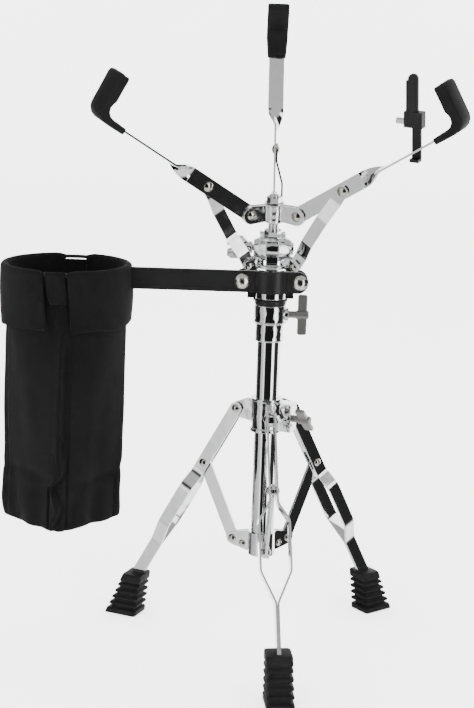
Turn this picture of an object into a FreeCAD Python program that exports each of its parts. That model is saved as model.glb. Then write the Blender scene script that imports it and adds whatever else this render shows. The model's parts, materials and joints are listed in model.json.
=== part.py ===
import FreeCAD, Part
import math
import os
import Sketcher
from FreeCAD import Placement, Rotation, Vector

# Snare drum stand: a double-braced tripod, a height tube, a tilter and a three-arm basket, with a stick
# holder clamped below the tilter. Millimetres and degrees. The stand's axis is Z and the floor is Z = 0.
# An azimuth is measured about Z from -Y (the front) towards +X, so the right-hand side is +90.

SIZES = [
    # centre column
    ("base_tube_radius", 12.7), ("tube_wall", 1.5), ("collar_top", 386), ("collar_thickness", 4.5),
    ("collar_height", 20), ("sleeve_thickness", 2.5), ("sleeve_height", 20), ("bead_width", 1.6),
    ("bead_rise", 0.9), ("flange_rim", 0.5), ("flange_thickness", 5.8), ("bushing_depth", 42),
    ("upper_tube_radius", 9.5), ("upper_tube_length", 270), ("running_clearance", 0.05),
    ("side_clearance", 0.2), ("landing_gap", 0.3), ("plug_depth", 8), ("plug_lip", 3),
    # wing bolts
    ("wing_bolt_radius", 3.8), ("wing_hub_radius", 4.7), ("wing_hub_length", 14), ("wing_span", 44),
    ("wing_width", 10), ("wing_thickness", 3.6), ("bolt_drop", 11), ("bolt_boss_radius", 7),
    ("bolt_boss_height", 2.8), ("height_bolt_gap", 8), ("lock_bolt_gap", 6), ("lock_bolt_drop", 4),
    ("lock_wing_turn", 50),
    # tripod
    ("tripod_azimuth", 6.7), ("leg_pivot_radius", 34.5), ("leg_pivot_height", 266), ("leg_angle", 29.1),
    ("leg_to_rivet", 77.9), ("brace_foot_height", 115), ("leg_length", 278), ("strip_width", 14),
    ("strip_thickness", 2.1), ("lug_thickness", 6), ("lug_above", 13), ("lug_below", 9),
    ("leg_spread", 16.2), ("spread_lead", 14.1), ("spread_ramp", 18), ("spread_run", 54),
    ("spread_return", 33), ("leg_bend_radius", 14), ("brace_thickness", 3), ("pivot_radius", 2.5),
    ("rivet_head_radius", 4.6), ("rivet_head_height", 2.4), ("slider_wall", 3.3), ("slider_rim", 1.8),
    ("slider_below", 21), ("slider_above", 16), ("slider_flange", 3), ("ear_plate", 2),
    ("ear_tip_radius", 7.5), ("lower_ring_wall", 2.3), ("lower_ring_half", 13), ("ring_overhang", 2),
    ("plate_rivet_inset", 7), ("housing_width", 18), ("housing_depth", 19.3), ("housing_below", 18),
    ("housing_above", 13), ("housing_wall", 2.5),
    # rubber feet
    ("foot_height", 51), ("foot_length", 40), ("foot_width", 29.5), ("foot_top_length", 24),
    ("foot_top_width", 28), ("foot_setback", 11.5), ("foot_top_lead", 2),
    # tilter
    ("socket_radius", 16.5), ("socket_height", 31.9), ("socket_roof", 4), ("tilter_rise", 23),
    ("basket_azimuth", 0), ("basket_tilt", 15.2), ("tilter_disc_radius", 11), ("tilter_neck_half", 6.4),
    ("neck_depth", 12), ("cheek_rim", 3.7), ("cheek_outer_radius", 9), ("cheek_thickness", 13.4),
    ("bridge_gap", 0.4), ("bridge_thickness", 3.6), ("bridge_depth", 20), ("tilt_bolt_radius", 3.5),
    ("tilt_hub_gap", 1.5), ("tilt_hub_radius", 6.5), ("tilt_hub_length", 8), ("tilt_wing_span", 25),
    ("tilt_wing_length", 24), ("tilt_wing_thickness", 4.5), ("washer_radius", 6.8),
    ("washer_thickness", 2.4),
    # basket
    ("rod_radius", 5.5), ("rod_stand_out", 10), ("jam_nut_height", 6), ("jam_nut_radius", 9.2),
    ("spider_hub_radius", 11), ("spider_hub_below", 11.7), ("spider_hub_above", 8.8),
    ("basket_nut_radius", 8), ("basket_nut_height", 7), ("nut_gap", 0.1), ("arm_pivot_radius", 28),
    ("arm_pivot_level", 43.2), ("arm_angle", 37.65), ("arm_to_rivet", 65.3), ("lower_pivot_level", -15),
    ("upper_ear_radius", 10), ("lower_ear_rise", 9), ("lower_ear_drop", 4.5), ("ear_reach", 7),
    ("ear_thickness", 1.8), ("ear_clearance", 0.1), ("arm_thickness", 2), ("arm_width", 17),
    ("twist_lead", 26.7), ("twist_run", 26), ("arm_length", 210), ("basket_pivot_radius", 3),
    ("arm_rivet_head", 5.4), ("stub_head", 4.2), ("stub_head_height", 2), ("basket_brace_width", 13.5),
    ("brace_end_setback", 2.9), ("basket_brace_offset", 9), ("lower_ring_outer", 21.7), ("ring_plate", 3),
    ("slot_side_gap", 2.2), ("neck_slot_half_length", 15.5),
    # rubber drum rests
    ("hook_cover", 20), ("hook_leg", 7.3), ("hook_leg_width", 21), ("hook_width", 24), ("hook_wall", 4),
    ("hook_depth", 12), ("hook_top", 45), ("hook_lean", 3), ("notch_radius", 7.5), ("notch_inset", 4),
    # stick holder
    ("holder_azimuth", 0), ("bar_drop", 1), ("bar_height", 23.5), ("bar_thickness", 2.5),
    ("liner_thickness", 0.7), ("liner_overhang", 0.5), ("clamp_gap_half", 7), ("clamp_bolt_offset", 31),
    ("clamp_end", 40), ("clamp_bolt_radius", 3.4), ("bolt_head_radius", 8.6), ("bolt_head_height", 4.6),
    ("saddle_drop", 11.5), ("saddle_half_width", 25), ("nut_radius", 6.4), ("nut_height", 5.5),
    ("bolt_stand_out", 2), ("hoop_centre", 220.5), ("hoop_radius", 66.5), ("hoop_wire", 2),
    ("hoop_drop", 2), ("bag_wall", 1.5), ("bag_rim_rise", 6), ("bag_height", 289), ("bag_cuff_height", 75),
    ("bag_body_inset", 1), ("bag_base_side", 90), ("bag_base_turn", 43), ("bag_corner_radius", 14),
    ("bag_slack", 0.3), ("cuff_clearance", 0.1),
    # accessory clip on the right arm
    ("clip_from_end", 53), ("clip_strap_width", 9.5), ("clip_strap_thickness", 2.5),
    ("clip_strap_height", 26), ("clip_strap_drop", 8), ("clip_block_width", 18.5), ("clip_block_height", 16),
    ("clip_block_depth", 9), ("clip_bar_width", 10.5), ("clip_bar_height", 38), ("clip_foot_height", 3),
    ("clip_screw_radius", 3.2), ("clip_screw_length", 9), ("clip_lean", 5), ("clip_gap", 0.3),
]

# Places that follow from the sizes.
PLACES = {
    "base_tube_bottom": "brace_foot_height - lower_ring_half + ring_overhang",
    "collar_radius": "base_tube_radius + collar_thickness",
    "collar_bead_height": "collar_top - collar_height",
    "sleeve_radius": "base_tube_radius + sleeve_thickness",
    "sleeve_bottom": "collar_bead_height - sleeve_height",
    "flange_radius": "socket_radius + flange_rim",
    "flange_top": "collar_top + flange_thickness",
    "socket_top": "flange_top + landing_gap + socket_height",
    "upper_tube_top": "socket_top - socket_roof",
    "upper_tube_bottom": "upper_tube_top - upper_tube_length",
    "height_bolt_level": "collar_top - bolt_drop",
    "bolt_boss_reach": "collar_radius + bolt_boss_height",
    "height_hub_start": "bolt_boss_reach + height_bolt_gap",
    "housing_reach": "base_tube_radius + housing_depth",
    "lock_hub_start": "housing_reach + lock_bolt_gap",
    "lock_bolt_level": "leg_pivot_height - lock_bolt_drop",
    "housing_bottom": "leg_pivot_height - housing_below",
    "housing_top": "leg_pivot_height + housing_above",
    "lug_bottom": "leg_pivot_height - lug_below",
    "lug_top": "leg_pivot_height + lug_above",
    "slider_radius": "base_tube_radius + slider_wall",
    "slider_flange_radius": "slider_radius + slider_rim",
    "slider_bottom": "leg_pivot_height - slider_below",
    "slider_top": "leg_pivot_height + slider_above",
    "strip_gap": "lug_thickness / 2 + side_clearance",
    "spread_start": "leg_to_rivet + spread_lead",
    "spread_full": "spread_start + spread_ramp",
    "spread_end": "spread_full + spread_run",
    "strips_meet": "spread_end + spread_return",
    "lower_ring_radius": "base_tube_radius + lower_ring_wall",
    "lower_ring_bottom": "brace_foot_height - lower_ring_half",
    "lower_ring_top": "brace_foot_height + lower_ring_half",
    "tilter_height": "socket_top + tilter_rise",
    "cheek_start": "tilter_neck_half + side_clearance",
    "cheek_inner_radius": "tilter_disc_radius + cheek_rim",
    "bridge_bottom": "tilter_disc_radius + bridge_gap",
    "bridge_top": "bridge_bottom + bridge_thickness",
    "tilt_hub_start": "cheek_start + cheek_thickness + tilt_hub_gap",
    "jam_nut_top": "bridge_top + jam_nut_height",
    "spider_hub_bottom": "arm_pivot_level - spider_hub_below",
    "spider_hub_top": "arm_pivot_level + spider_hub_above",
    "rod_top": "spider_hub_top + rod_stand_out",
    "ear_inner": "arm_thickness / 2 + ear_clearance",
    "twist_start": "arm_to_rivet + twist_lead",
    "twist_end": "twist_start + twist_run",
    "neck_slot_half_width": "tilter_neck_half + slot_side_gap",
    "hook_start": "arm_length - hook_cover",
    "hook_inner": "arm_length + hook_wall",
    "hook_outer": "hook_inner + hook_depth",
    "bar_top": "socket_top - bar_drop",
    "bar_bottom": "bar_top - bar_height",
    "saddle_bottom": "bar_bottom - saddle_drop",
    "liner_inner": "socket_radius + running_clearance",
    "liner_outer": "liner_inner + liner_thickness",
    "bar_face": "clamp_gap_half + bar_thickness",
    "clamp_bolt_level": "(bar_bottom + bar_top) / 2",
    "hoop_level": "bar_top - hoop_drop",
    "bag_top": "hoop_level + bag_rim_rise",
    "bag_bottom": "bag_top - bag_height",
    "bag_cuff_bottom": "bag_top - bag_cuff_height",
    "bag_body_radius": "hoop_radius - bag_body_inset",
    "clip_station": "arm_length - clip_from_end",
}

doc = FreeCAD.newDocument("snare_drum_stand")
sheet = doc.addObject("Spreadsheet::Sheet", "dims")
for row, (alias, value) in enumerate(SIZES, start=1):
    sheet.set("A%d" % row, alias)
    sheet.set("B%d" % row, str(value))
    sheet.setAlias("B%d" % row, alias)
doc.recompute()

subparts = []


def value(expression):
    """The number that an expression on the sheet gives, with the sheet's name left out of it."""
    return float(sheet.evalExpression(bound(expression)))


def bound(expression):
    """An expression with places written out and each of the sheet's words written as dims.word."""
    words = []
    word = ""
    for character in str(expression) + " ":
        if character.isalnum() or character == "_":
            word += character
            continue
        if word in PLACES:
            words.append("(%s)" % bound(PLACES[word]))
        elif word in ALIASES:
            words.append("dims." + word)
        else:
            words.append(word)
        words.append(character)
        word = ""
    return "".join(words).strip()


ALIASES = {alias for alias, number in SIZES}


def bind(feature, **expressions):
    """Tie each named property of a feature to an expression on the sheet."""
    for name, expression in expressions.items():
        feature.setExpression(name.replace("__", "."), bound(expression))


def finished(feature, label, placement=None):
    """Name a sub-part, put it in its place and list it for writing."""
    feature.Label = label
    if placement is not None:
        feature.Placement = placement
    subparts.append(feature)
    return feature


# ---- frames ----------------------------------------------------------------------------------------------

def turned_about_z(azimuth):
    """The turn that takes a radial frame (X outwards, Y counter-clockwise) to an azimuth."""
    return Placement(Vector(0, 0, 0), Rotation(Vector(0, 0, 1), azimuth - 90))


def raised(elevation):
    """The turn that lifts a radial frame's X axis to an elevation above level."""
    return Placement(Vector(0, 0, 0), Rotation(Vector(0, 1, 0), -elevation))


def shifted(x=0.0, y=0.0, z=0.0):
    return Placement(Vector(x, y, z), Rotation())


def turned(x=0.0, y=0.0, z=0.0):
    """A turn about one of the axes, in degrees."""
    axis = Vector(1 if x else 0, 1 if y else 0, 1 if z else 0)
    return Placement(Vector(0, 0, 0), Rotation(axis, x or y or z)) if (x or y or z) else Placement()


def radial(azimuth, radius, height, elevation=0.0):
    """A frame at a radius and height, X pointing outwards along the azimuth and up by the elevation."""
    return turned_about_z(azimuth) * shifted(x=radius, z=height) * raised(elevation)


# ---- PartDesign bodies -----------------------------------------------------------------------------------

class Design:
    """A PartDesign body built from sketches on its own origin planes, bound to the sheet."""

    def __init__(self, name):
        self.name = name
        self.body = doc.addObject("PartDesign::Body", name)
        self.count = 0

    def sketch(self, plane, offset="0"):
        self.count += 1
        sketch = self.body.newObject("Sketcher::SketchObject", "%s_sketch_%d" % (self.name, self.count))
        origin_plane = [item for item in self.body.Origin.OriginFeatures if item.Role == plane][0]
        sketch.AttachmentSupport = [(origin_plane, "")]
        sketch.MapMode = "FlatFace"
        bind(sketch, AttachmentOffset__Base__z=offset)
        return sketch

    def polygon(self, plane, corners, offset="0"):
        """A closed sketch through corners given as pairs of expressions."""
        sketch = self.sketch(plane, offset)
        points = [Vector(value(x), value(y), 0) for x, y in corners]
        total = len(points)
        for index in range(total):
            sketch.addGeometry(Part.LineSegment(points[index], points[(index + 1) % total]))
        for index in range(total):
            sketch.addConstraint(Sketcher.Constraint("Coincident", index, 2, (index + 1) % total, 1))
        for index, (x, y) in enumerate(corners):
            for kind, expression, number in (("DistanceX", x, points[index].x),
                                             ("DistanceY", y, points[index].y)):
                place = sketch.addConstraint(Sketcher.Constraint(kind, -1, 1, index, 1, number))
                sketch.setExpression("Constraints[%d]" % place, bound(expression))
        return sketch

    def circle(self, plane, x, y, radius, offset="0"):
        sketch = self.sketch(plane, offset)
        centre = Vector(value(x), value(y), 0)
        sketch.addGeometry(Part.Circle(centre, Vector(0, 0, 1), value(radius)))
        for kind, expression, number in (("DistanceX", x, centre.x), ("DistanceY", y, centre.y)):
            place = sketch.addConstraint(Sketcher.Constraint(kind, -1, 1, 0, 3, number))
            sketch.setExpression("Constraints[%d]" % place, bound(expression))
        place = sketch.addConstraint(Sketcher.Constraint("Radius", 0, value(radius)))
        sketch.setExpression("Constraints[%d]" % place, bound(radius))
        return sketch

    def revolve(self, corners):
        """Turn a profile of (radius, height) corners about Z."""
        sketch = self.polygon("XZ_Plane", corners)
        feature = self.body.newObject("PartDesign::Revolution", "%s_turn_%d" % (self.name, self.count))
        feature.Profile = sketch
        feature.ReferenceAxis = (sketch, ["V_Axis"])
        feature.Angle = 360
        return feature

    def pad(self, sketch, length, midplane=True, reverse=False):
        feature = self.body.newObject("PartDesign::Pad", "%s_pad_%d" % (self.name, self.count))
        feature.Profile = sketch
        feature.Reversed = reverse
        feature.SideType = "Symmetric" if midplane else "One side"
        bind(feature, Length=length)
        return feature

    def pocket(self, sketch, length):
        feature = self.body.newObject("PartDesign::Pocket", "%s_pocket_%d" % (self.name, self.count))
        feature.Profile = sketch
        feature.SideType = "Symmetric"
        bind(feature, Length=length)
        return feature

    def around(self, features, count):
        """Repeat features evenly about Z."""
        pattern = self.body.newObject("PartDesign::PolarPattern", "%s_ring_%d" % (self.name, self.count))
        pattern.Originals = features
        z_axis = [item for item in self.body.Origin.OriginFeatures if item.Role == "Z_Axis"][0]
        pattern.Axis = (z_axis, [""])
        pattern.Angle = 360
        pattern.Occurrences = count
        self.body.Tip = pattern
        return pattern


# ---- Part primitives -------------------------------------------------------------------------------------

def cylinder(name, radius, height, placement=None):
    feature = doc.addObject("Part::Cylinder", name)
    bind(feature, Radius=radius, Height=height)
    feature.Placement = placement or Placement()
    return feature


def cone(name, base, top, height, placement=None):
    feature = doc.addObject("Part::Cone", name)
    bind(feature, Radius1=base, Radius2=top, Height=height)
    feature.Placement = placement or Placement()
    return feature


def block(name, low, high, placement=None):
    """A box between two corners given as expressions, moved by a placement."""
    feature = doc.addObject("Part::Box", name)
    bind(feature, Length="(%s) - (%s)" % (high[0], low[0]), Width="(%s) - (%s)" % (high[1], low[1]),
         Height="(%s) - (%s)" % (high[2], low[2]))
    corner = shifted(value(low[0]), value(low[1]), value(low[2]))
    feature.Placement = (placement or Placement()) * corner
    return feature


def hexagon(name, radius, height, placement=None):
    feature = doc.addObject("Part::Prism", name)
    feature.Polygon = 6
    bind(feature, Circumradius=radius, Height=height)
    feature.Placement = placement or Placement()
    return feature


def dome(name, radius, height, placement=None):
    """A round cap standing on its flat side."""
    ball = "((%s) ^ 2 + (%s) ^ 2) / (2 * (%s))" % (radius, height, height)
    ball_radius = value(ball)
    feature = doc.addObject("Part::Sphere", name)
    bind(feature, Radius=ball, Angle1="asin(1 - (%s) / (%s))" % (height, ball))
    feature.Angle2 = 90
    feature.Placement = (placement or Placement()) * shifted(z=value(height) - ball_radius)
    return feature


def fused(name, pieces):
    feature = doc.addObject("Part::MultiFuse", name)
    feature.Shapes = pieces
    feature.Refine = True
    return feature


def cut(name, base, tools):
    feature = doc.addObject("Part::Cut", name)
    feature.Base = base
    feature.Tool = tools[0] if len(tools) == 1 else fused(name + "_tools", tools)
    return feature


def rivet(name, radius, grip_low, grip_high, head, rise, placement):
    """A rivet along Y of a placement, its shank between two faces and a domed head outside each."""
    along = turned(x=-90)
    shank = cylinder(name + "_shank", radius, "(%s) - (%s)" % (grip_high, grip_low),
                     placement * shifted(y=value(grip_low)) * along)
    far = dome(name + "_far_head", head, rise, placement * shifted(y=value(grip_high)) * along)
    near = dome(name + "_near_head", head, rise, placement * shifted(y=value(grip_low)) * turned(x=90))
    return fused(name, [shank, far, near])


# ---- bent strips -----------------------------------------------------------------------------------------

def offset_side(points, bend_radius, offset):
    """Edges of a path with rounded corners, moved sideways by the offset (positive is left)."""
    edges = []
    start = None
    for index in range(len(points) - 1):
        along = (points[index + 1] - points[index]).normalize()
        left = Vector(-along.y, along.x, 0)
        if start is None:
            start = points[index] + left * offset
        if index == len(points) - 2:
            edges.append(Part.LineSegment(start, points[-1] + left * offset).toShape())
            break
        corner = points[index + 1]
        onward = (points[index + 2] - corner).normalize()
        turn = along.x * onward.y - along.y * onward.x
        side = 1 if turn > 0 else -1
        reach = bend_radius * math.tan(along.getAngle(onward) / 2)
        centre = corner - along * reach + left * bend_radius * side
        middle = centre + (corner - centre).normalize() * (bend_radius - side * offset)
        onward_left = Vector(-onward.y, onward.x, 0)
        bend_start = corner - along * reach + left * offset
        bend_end = corner + onward * reach + onward_left * offset
        edges.append(Part.LineSegment(start, bend_start).toShape())
        edges.append(Part.Arc(bend_start, middle, bend_end).toShape())
        start = bend_end
    return edges


def bent_strip(stations, bend_radius, thickness, width, holes, round_start=True, round_end=True):
    """A flat strip along X, bent sideways in Y through stations (x, y), its width along Z."""
    points = [Vector(x, y, 0) for x, y in stations]
    left = offset_side(points, bend_radius, thickness / 2)
    right = offset_side(points, bend_radius, -thickness / 2)
    ends = [Part.LineSegment(left[0].Vertexes[0].Point, right[0].Vertexes[0].Point).toShape(),
            Part.LineSegment(left[-1].Vertexes[-1].Point, right[-1].Vertexes[-1].Point).toShape()]
    wire = Part.Wire(Part.__sortEdges__(left + right + ends))
    strip = Part.Face(wire).extrude(Vector(0, 0, width))
    strip.translate(Vector(0, 0, -width / 2))
    reach = 100.0
    half = width / 2
    first = points[0].x
    last = points[-1].x
    outline = Part.makeBox(last - first - half * (round_start + round_end), 2 * reach, width,
                           Vector(first + half * round_start, -reach, -half))
    if round_start:
        outline = outline.fuse(Part.makeCylinder(half, 2 * reach, Vector(first + half, -reach, 0),
                                                 Vector(0, 1, 0)))
    if round_end:
        outline = outline.fuse(Part.makeCylinder(half, 2 * reach, Vector(last - half, -reach, 0),
                                                 Vector(0, 1, 0)))
    strip = strip.common(outline)
    for x, radius in holes:
        strip = strip.cut(Part.makeCylinder(radius, 2 * reach, Vector(x, -reach, 0), Vector(0, 1, 0)))
    return strip.Solids[0] if len(strip.Solids) == 1 else strip


def shaped(label, shape, placement):
    feature = doc.addObject("Part::Feature", label)
    feature.Shape = shape
    return finished(feature, label, placement)


# ---- centre column ---------------------------------------------------------------------------------------

def build_base_tube():
    design = Design("base_tube")
    design.revolve([("base_tube_radius - tube_wall", "base_tube_bottom"),
                    ("base_tube_radius", "base_tube_bottom"),
                    ("base_tube_radius", "collar_top"), ("base_tube_radius - tube_wall", "collar_top")])
    design.pocket(design.circle("YZ_Plane", "0", "height_bolt_level", "wing_bolt_radius + running_clearance",
                                "base_tube_radius"), "2 * base_tube_radius")
    finished(design.body, "base_tube")


def build_tube_plug():
    design = Design("tube_plug")
    inner = "base_tube_radius - tube_wall"
    lip = "base_tube_bottom - plug_lip"
    design.revolve([("0", lip), ("base_tube_radius - 0.5", lip), ("base_tube_radius", "%s + 1" % lip),
                    ("base_tube_radius", "base_tube_bottom"), (inner, "base_tube_bottom"),
                    (inner, "base_tube_bottom + plug_depth"), ("0", "base_tube_bottom + plug_depth")])
    finished(design.body, "tube_plug")


def build_height_collar():
    """A chromed housing pressed on the base tube's top, with the boss of the height bolt."""
    design = Design("collar_turning")
    design.revolve([("base_tube_radius", "sleeve_bottom"), ("sleeve_radius", "sleeve_bottom"),
                    ("sleeve_radius + bead_rise / 2", "sleeve_bottom + bead_width / 2"),
                    ("sleeve_radius", "sleeve_bottom + bead_width"),
                    ("sleeve_radius", "collar_bead_height - 1"), ("collar_radius", "collar_bead_height"),
                    ("collar_radius + bead_rise", "collar_bead_height + bead_width / 2"),
                    ("collar_radius", "collar_bead_height + bead_width"),
                    ("collar_radius", "collar_top - 1"), ("collar_radius - 1", "collar_top"),
                    ("base_tube_radius", "collar_top")])
    outwards = shifted(z=value("height_bolt_level")) * turned(y=90)
    boss = cylinder("collar_boss", "bolt_boss_radius", "bolt_boss_reach - base_tube_radius",
                    outwards * shifted(z=value("base_tube_radius")))
    trim = cylinder("collar_trim", "base_tube_radius", "collar_top", None)
    hole = cylinder("collar_bolt_hole", "wing_bolt_radius + running_clearance", "2 * bolt_boss_reach",
                    outwards)
    solid = fused("collar_solid", [design.body, boss])
    finished(cut("height_collar", solid, [trim, hole]), "height_collar")


def build_height_bushing():
    """A nylon bushing: a sleeve inside the base tube and a flange on top of the collar."""
    design = Design("height_bushing")
    bore = "upper_tube_radius + running_clearance"
    outer = "base_tube_radius - tube_wall"
    design.revolve([(bore, "collar_top - bushing_depth"), (outer, "collar_top - bushing_depth"),
                    (outer, "collar_top"), ("flange_radius - 0.6", "collar_top"),
                    ("flange_radius", "collar_top + 0.8"),
                    ("flange_radius", "collar_top + flange_thickness - 0.8"),
                    ("flange_radius - 0.8", "collar_top + flange_thickness"),
                    (bore, "collar_top + flange_thickness")])
    design.pocket(design.circle("YZ_Plane", "0", "height_bolt_level", "wing_bolt_radius + running_clearance",
                                "base_tube_radius"), "2 * base_tube_radius")
    finished(design.body, "height_bushing")


def build_upper_tube():
    design = Design("upper_tube")
    inner = "upper_tube_radius - tube_wall"
    design.revolve([(inner, "upper_tube_bottom"), ("upper_tube_radius", "upper_tube_bottom"),
                    ("upper_tube_radius", "upper_tube_top"), (inner, "upper_tube_top")])
    finished(design.body, "upper_tube")


def wing_bolt(label, shank, tip, hub_start, placement):
    """A bolt along Z with a cross hub and two flat wings; the tip is the shank's lower end."""
    design = Design(label)
    hub_end = "%s + wing_hub_length" % hub_start
    design.revolve([("0", tip), (shank, tip), (shank, hub_start), ("wing_hub_radius - 0.8", hub_start),
                    ("wing_hub_radius", "%s + 0.8" % hub_start), ("wing_hub_radius", "%s - 1.2" % hub_end),
                    ("wing_hub_radius - 1.2", hub_end), ("0", hub_end)])
    low = "%s + (wing_hub_length - wing_width) / 2" % hub_start
    high = "%s + (wing_hub_length + wing_width) / 2" % hub_start
    tip_x = "wing_span / 2"
    wings = design.polygon("XZ_Plane", [
        ("-%s" % tip_x, "%s + 1.5" % low), ("-%s + 1.5" % tip_x, low), ("%s - 1.5" % tip_x, low),
        (tip_x, "%s + 1.5" % low), (tip_x, "%s - 1.5" % high), ("%s - 1.5" % tip_x, high),
        ("-%s + 1.5" % tip_x, high), ("-%s" % tip_x, "%s - 1.5" % high)])
    design.pad(wings, "wing_thickness")
    finished(design.body, label, placement)


def build_height_wing_bolt():
    tip = "upper_tube_radius + landing_gap"
    place = shifted(z=value("height_bolt_level")) * turned(y=90)
    wing_bolt("height_wing_bolt", "wing_bolt_radius", tip, "height_hub_start", place)


# ---- tripod ----------------------------------------------------------------------------------------------

LEG_AZIMUTHS = {"front": 0.0, "left": -120.0, "right": 120.0}


def leg_azimuth(name):
    return value("tripod_azimuth") + LEG_AZIMUTHS[name]


def leg_frame(name):
    """X runs down the leg from its top pivot, Y is counter-clockwise."""
    return radial(leg_azimuth(name), value("leg_pivot_radius"), value("leg_pivot_height"),
                  value("leg_angle") - 90)


def build_leg_bracket():
    """The slider on the base tube: a sleeve, a lug for each leg and a housing for the lock bolt."""
    design = Design("bracket_turning")
    bore = "base_tube_radius + running_clearance"
    design.revolve([(bore, "slider_bottom"), ("slider_flange_radius", "slider_bottom"),
                    ("slider_flange_radius", "slider_bottom + slider_flange"),
                    ("slider_radius", "slider_bottom + slider_flange + 1"),
                    ("slider_radius", "slider_top - slider_flange"),
                    ("slider_flange_radius - 0.6", "slider_top - slider_flange + 0.6"),
                    ("slider_flange_radius - 0.6", "slider_top"), (bore, "slider_top")])
    pieces = [design.body]
    holes = []
    tip = "(leg_pivot_radius + ear_tip_radius * 0.8)"
    for name in LEG_AZIMUTHS:
        place = turned_about_z(leg_azimuth(name))
        lug = Design("lug_" + name)
        outline = lug.polygon("XZ_Plane", [
            ("slider_radius - 2", "lug_bottom - 4"), ("leg_pivot_radius", "lug_bottom"),
            (tip, "leg_pivot_height - 3"),
            (tip, "leg_pivot_height + 4"), ("leg_pivot_radius", "leg_pivot_height + ear_tip_radius"),
            ("slider_radius + 6", "lug_top"), ("slider_radius - 2", "lug_top")])
        lug.pad(outline, "lug_thickness")
        lug.body.Placement = place
        pieces.append(lug.body)
        across = place * shifted(x=value("leg_pivot_radius"), y=-20,
                                 z=value("leg_pivot_height")) * turned(x=-90)
        holes.append(cylinder("lug_hole_" + name, "pivot_radius", "40", across))
    lock = turned_about_z(value("tripod_azimuth") + 60)
    half = "housing_width / 2"
    shell = block("lock_housing", ("base_tube_radius", "-" + half, "housing_bottom"),
                  ("housing_reach", half, "housing_top"), lock)
    hollow = block("lock_hollow", ("slider_radius", "-%s + housing_wall" % half, "housing_bottom - 1"),
                   ("housing_reach - housing_wall", "%s - housing_wall" % half,
                    "housing_top - housing_wall"), lock)
    outwards = lock * shifted(z=value("lock_bolt_level")) * turned(y=90)
    bolt_hole = cylinder("lock_bolt_hole", "wing_bolt_radius + running_clearance", "2 * housing_reach",
                         outwards)
    bore_tool = cylinder("bracket_bore", bore, "slider_top + 10", None)
    solid = fused("bracket_solid", pieces + [cut("lock_shell", shell, [hollow])])
    finished(cut("leg_bracket", solid, [bore_tool, bolt_hole] + holes), "leg_bracket")


def build_leg_lock_bolt():
    tip = "base_tube_radius + landing_gap"
    place = turned_about_z(value("tripod_azimuth") + 60) * shifted(z=value("lock_bolt_level")) * turned(y=90)
    wing_bolt("leg_lock_wing_bolt", "wing_bolt_radius", tip, "lock_hub_start",
              place * turned(z=value("lock_wing_turn")))


def build_bracket_rivets():
    """The three pivot rivets that carry the legs, in one node."""
    grip = "strip_gap + strip_thickness + 0.1"
    rivets = []
    for name in LEG_AZIMUTHS:
        place = radial(leg_azimuth(name), value("leg_pivot_radius"), value("leg_pivot_height"))
        rivets.append(rivet("leg_pivot_" + name, "pivot_radius", "-(%s)" % grip, grip, "rivet_head_radius",
                            "rivet_head_height", place))
    finished(compound("leg_bracket_rivets", rivets), "leg_bracket_rivets")


def compound(name, pieces):
    feature = doc.addObject("Part::Compound", name)
    feature.Links = pieces
    return feature


def build_leg(name):
    """Two mirrored strips, a rubber foot and the brace rivet of one leg."""
    thickness = value("strip_thickness")
    width = value("strip_width")
    upper = value("strip_gap") + thickness / 2
    lower = thickness / 2 + 0.02
    start = -width / 2
    stations = [(start, upper), (value("spread_start"), upper), (value("spread_full"), value("leg_spread")),
                (value("spread_end"), value("leg_spread")), (value("strips_meet"), lower),
                (value("leg_length"), lower)]
    hole = value("pivot_radius + running_clearance")
    holes = [(0, hole), (value("leg_to_rivet"), value("pivot_radius"))]
    for suffix, side in (("a", 1), ("b", -1)):
        path = [(x, side * y) for x, y in stations]
        strip = bent_strip(path, value("leg_bend_radius"), thickness, width, holes, round_end=False)
        shaped("%s_leg_strip_%s" % (name, suffix), strip, leg_frame(name))
    build_leg_rivet(name)
    build_foot(name)


def build_leg_rivet(name):
    """The rivet that holds the brace between the strips, with a spacer on each side of the brace."""
    place = leg_frame(name) * shifted(x=value("leg_to_rivet"))
    grip = "strip_gap + strip_thickness"
    pin = rivet("%s_brace_pin" % name, "pivot_radius", "-(%s)" % grip, grip, "rivet_head_radius",
                "rivet_head_height", place)
    spacer = "strip_gap - brace_thickness / 2 - 0.1"
    rings = []
    for side in (1, -1):
        start = side * value("brace_thickness / 2 + 0.1")
        disc = cylinder("%s_spacer_%d" % (name, side + 1), "rivet_head_radius", spacer,
                        place * shifted(y=start) * turned(x=-90 * side))
        rings.append(disc)
    finished(fused("%s_leg_rivet" % name, [pin] + rings), "%s_leg_rivet" % name)


def build_foot(name):
    """An upright rubber boot on the strips' lower ends, flared outwards and flat on the floor."""
    angle = math.radians(value("leg_angle"))
    height = value("foot_height")
    strip_end = value("leg_pivot_radius") + value("leg_length") * math.sin(angle)
    strip_end_height = value("leg_pivot_height") - value("leg_length") * math.cos(angle)
    lean = math.tan(angle)
    top_radius = strip_end - (height - strip_end_height) * lean + value("foot_top_lead")
    bottom_radius = strip_end + strip_end_height * lean - value("foot_setback")

    def ring(centre, length, width, level):
        corners = [Vector(centre + sx * length / 2, sy * width / 2, level)
                   for sx, sy in ((-1, -1), (1, -1), (1, 1), (-1, 1))]
        return Part.makePolygon(corners + corners[:1])

    body = Part.makeLoft([ring(bottom_radius, value("foot_length"), value("foot_width"), 0),
                          ring(top_radius, value("foot_top_length"), value("foot_top_width"),
                               height)], True, True)
    slot = Part.makeBox(200, 2 * value("strip_thickness") + 0.04, value("strip_width"),
                        Vector(value("leg_length") - 200, -value("strip_thickness") - 0.02,
                               -value("strip_width") / 2))
    slot.Placement = raised_leg()
    shaped("%s_foot" % name, body.cut(slot), turned_about_z(leg_azimuth(name)))


def raised_leg():
    return shifted(x=value("leg_pivot_radius"), z=value("leg_pivot_height")) * raised(value("leg_angle") - 90)


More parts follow.
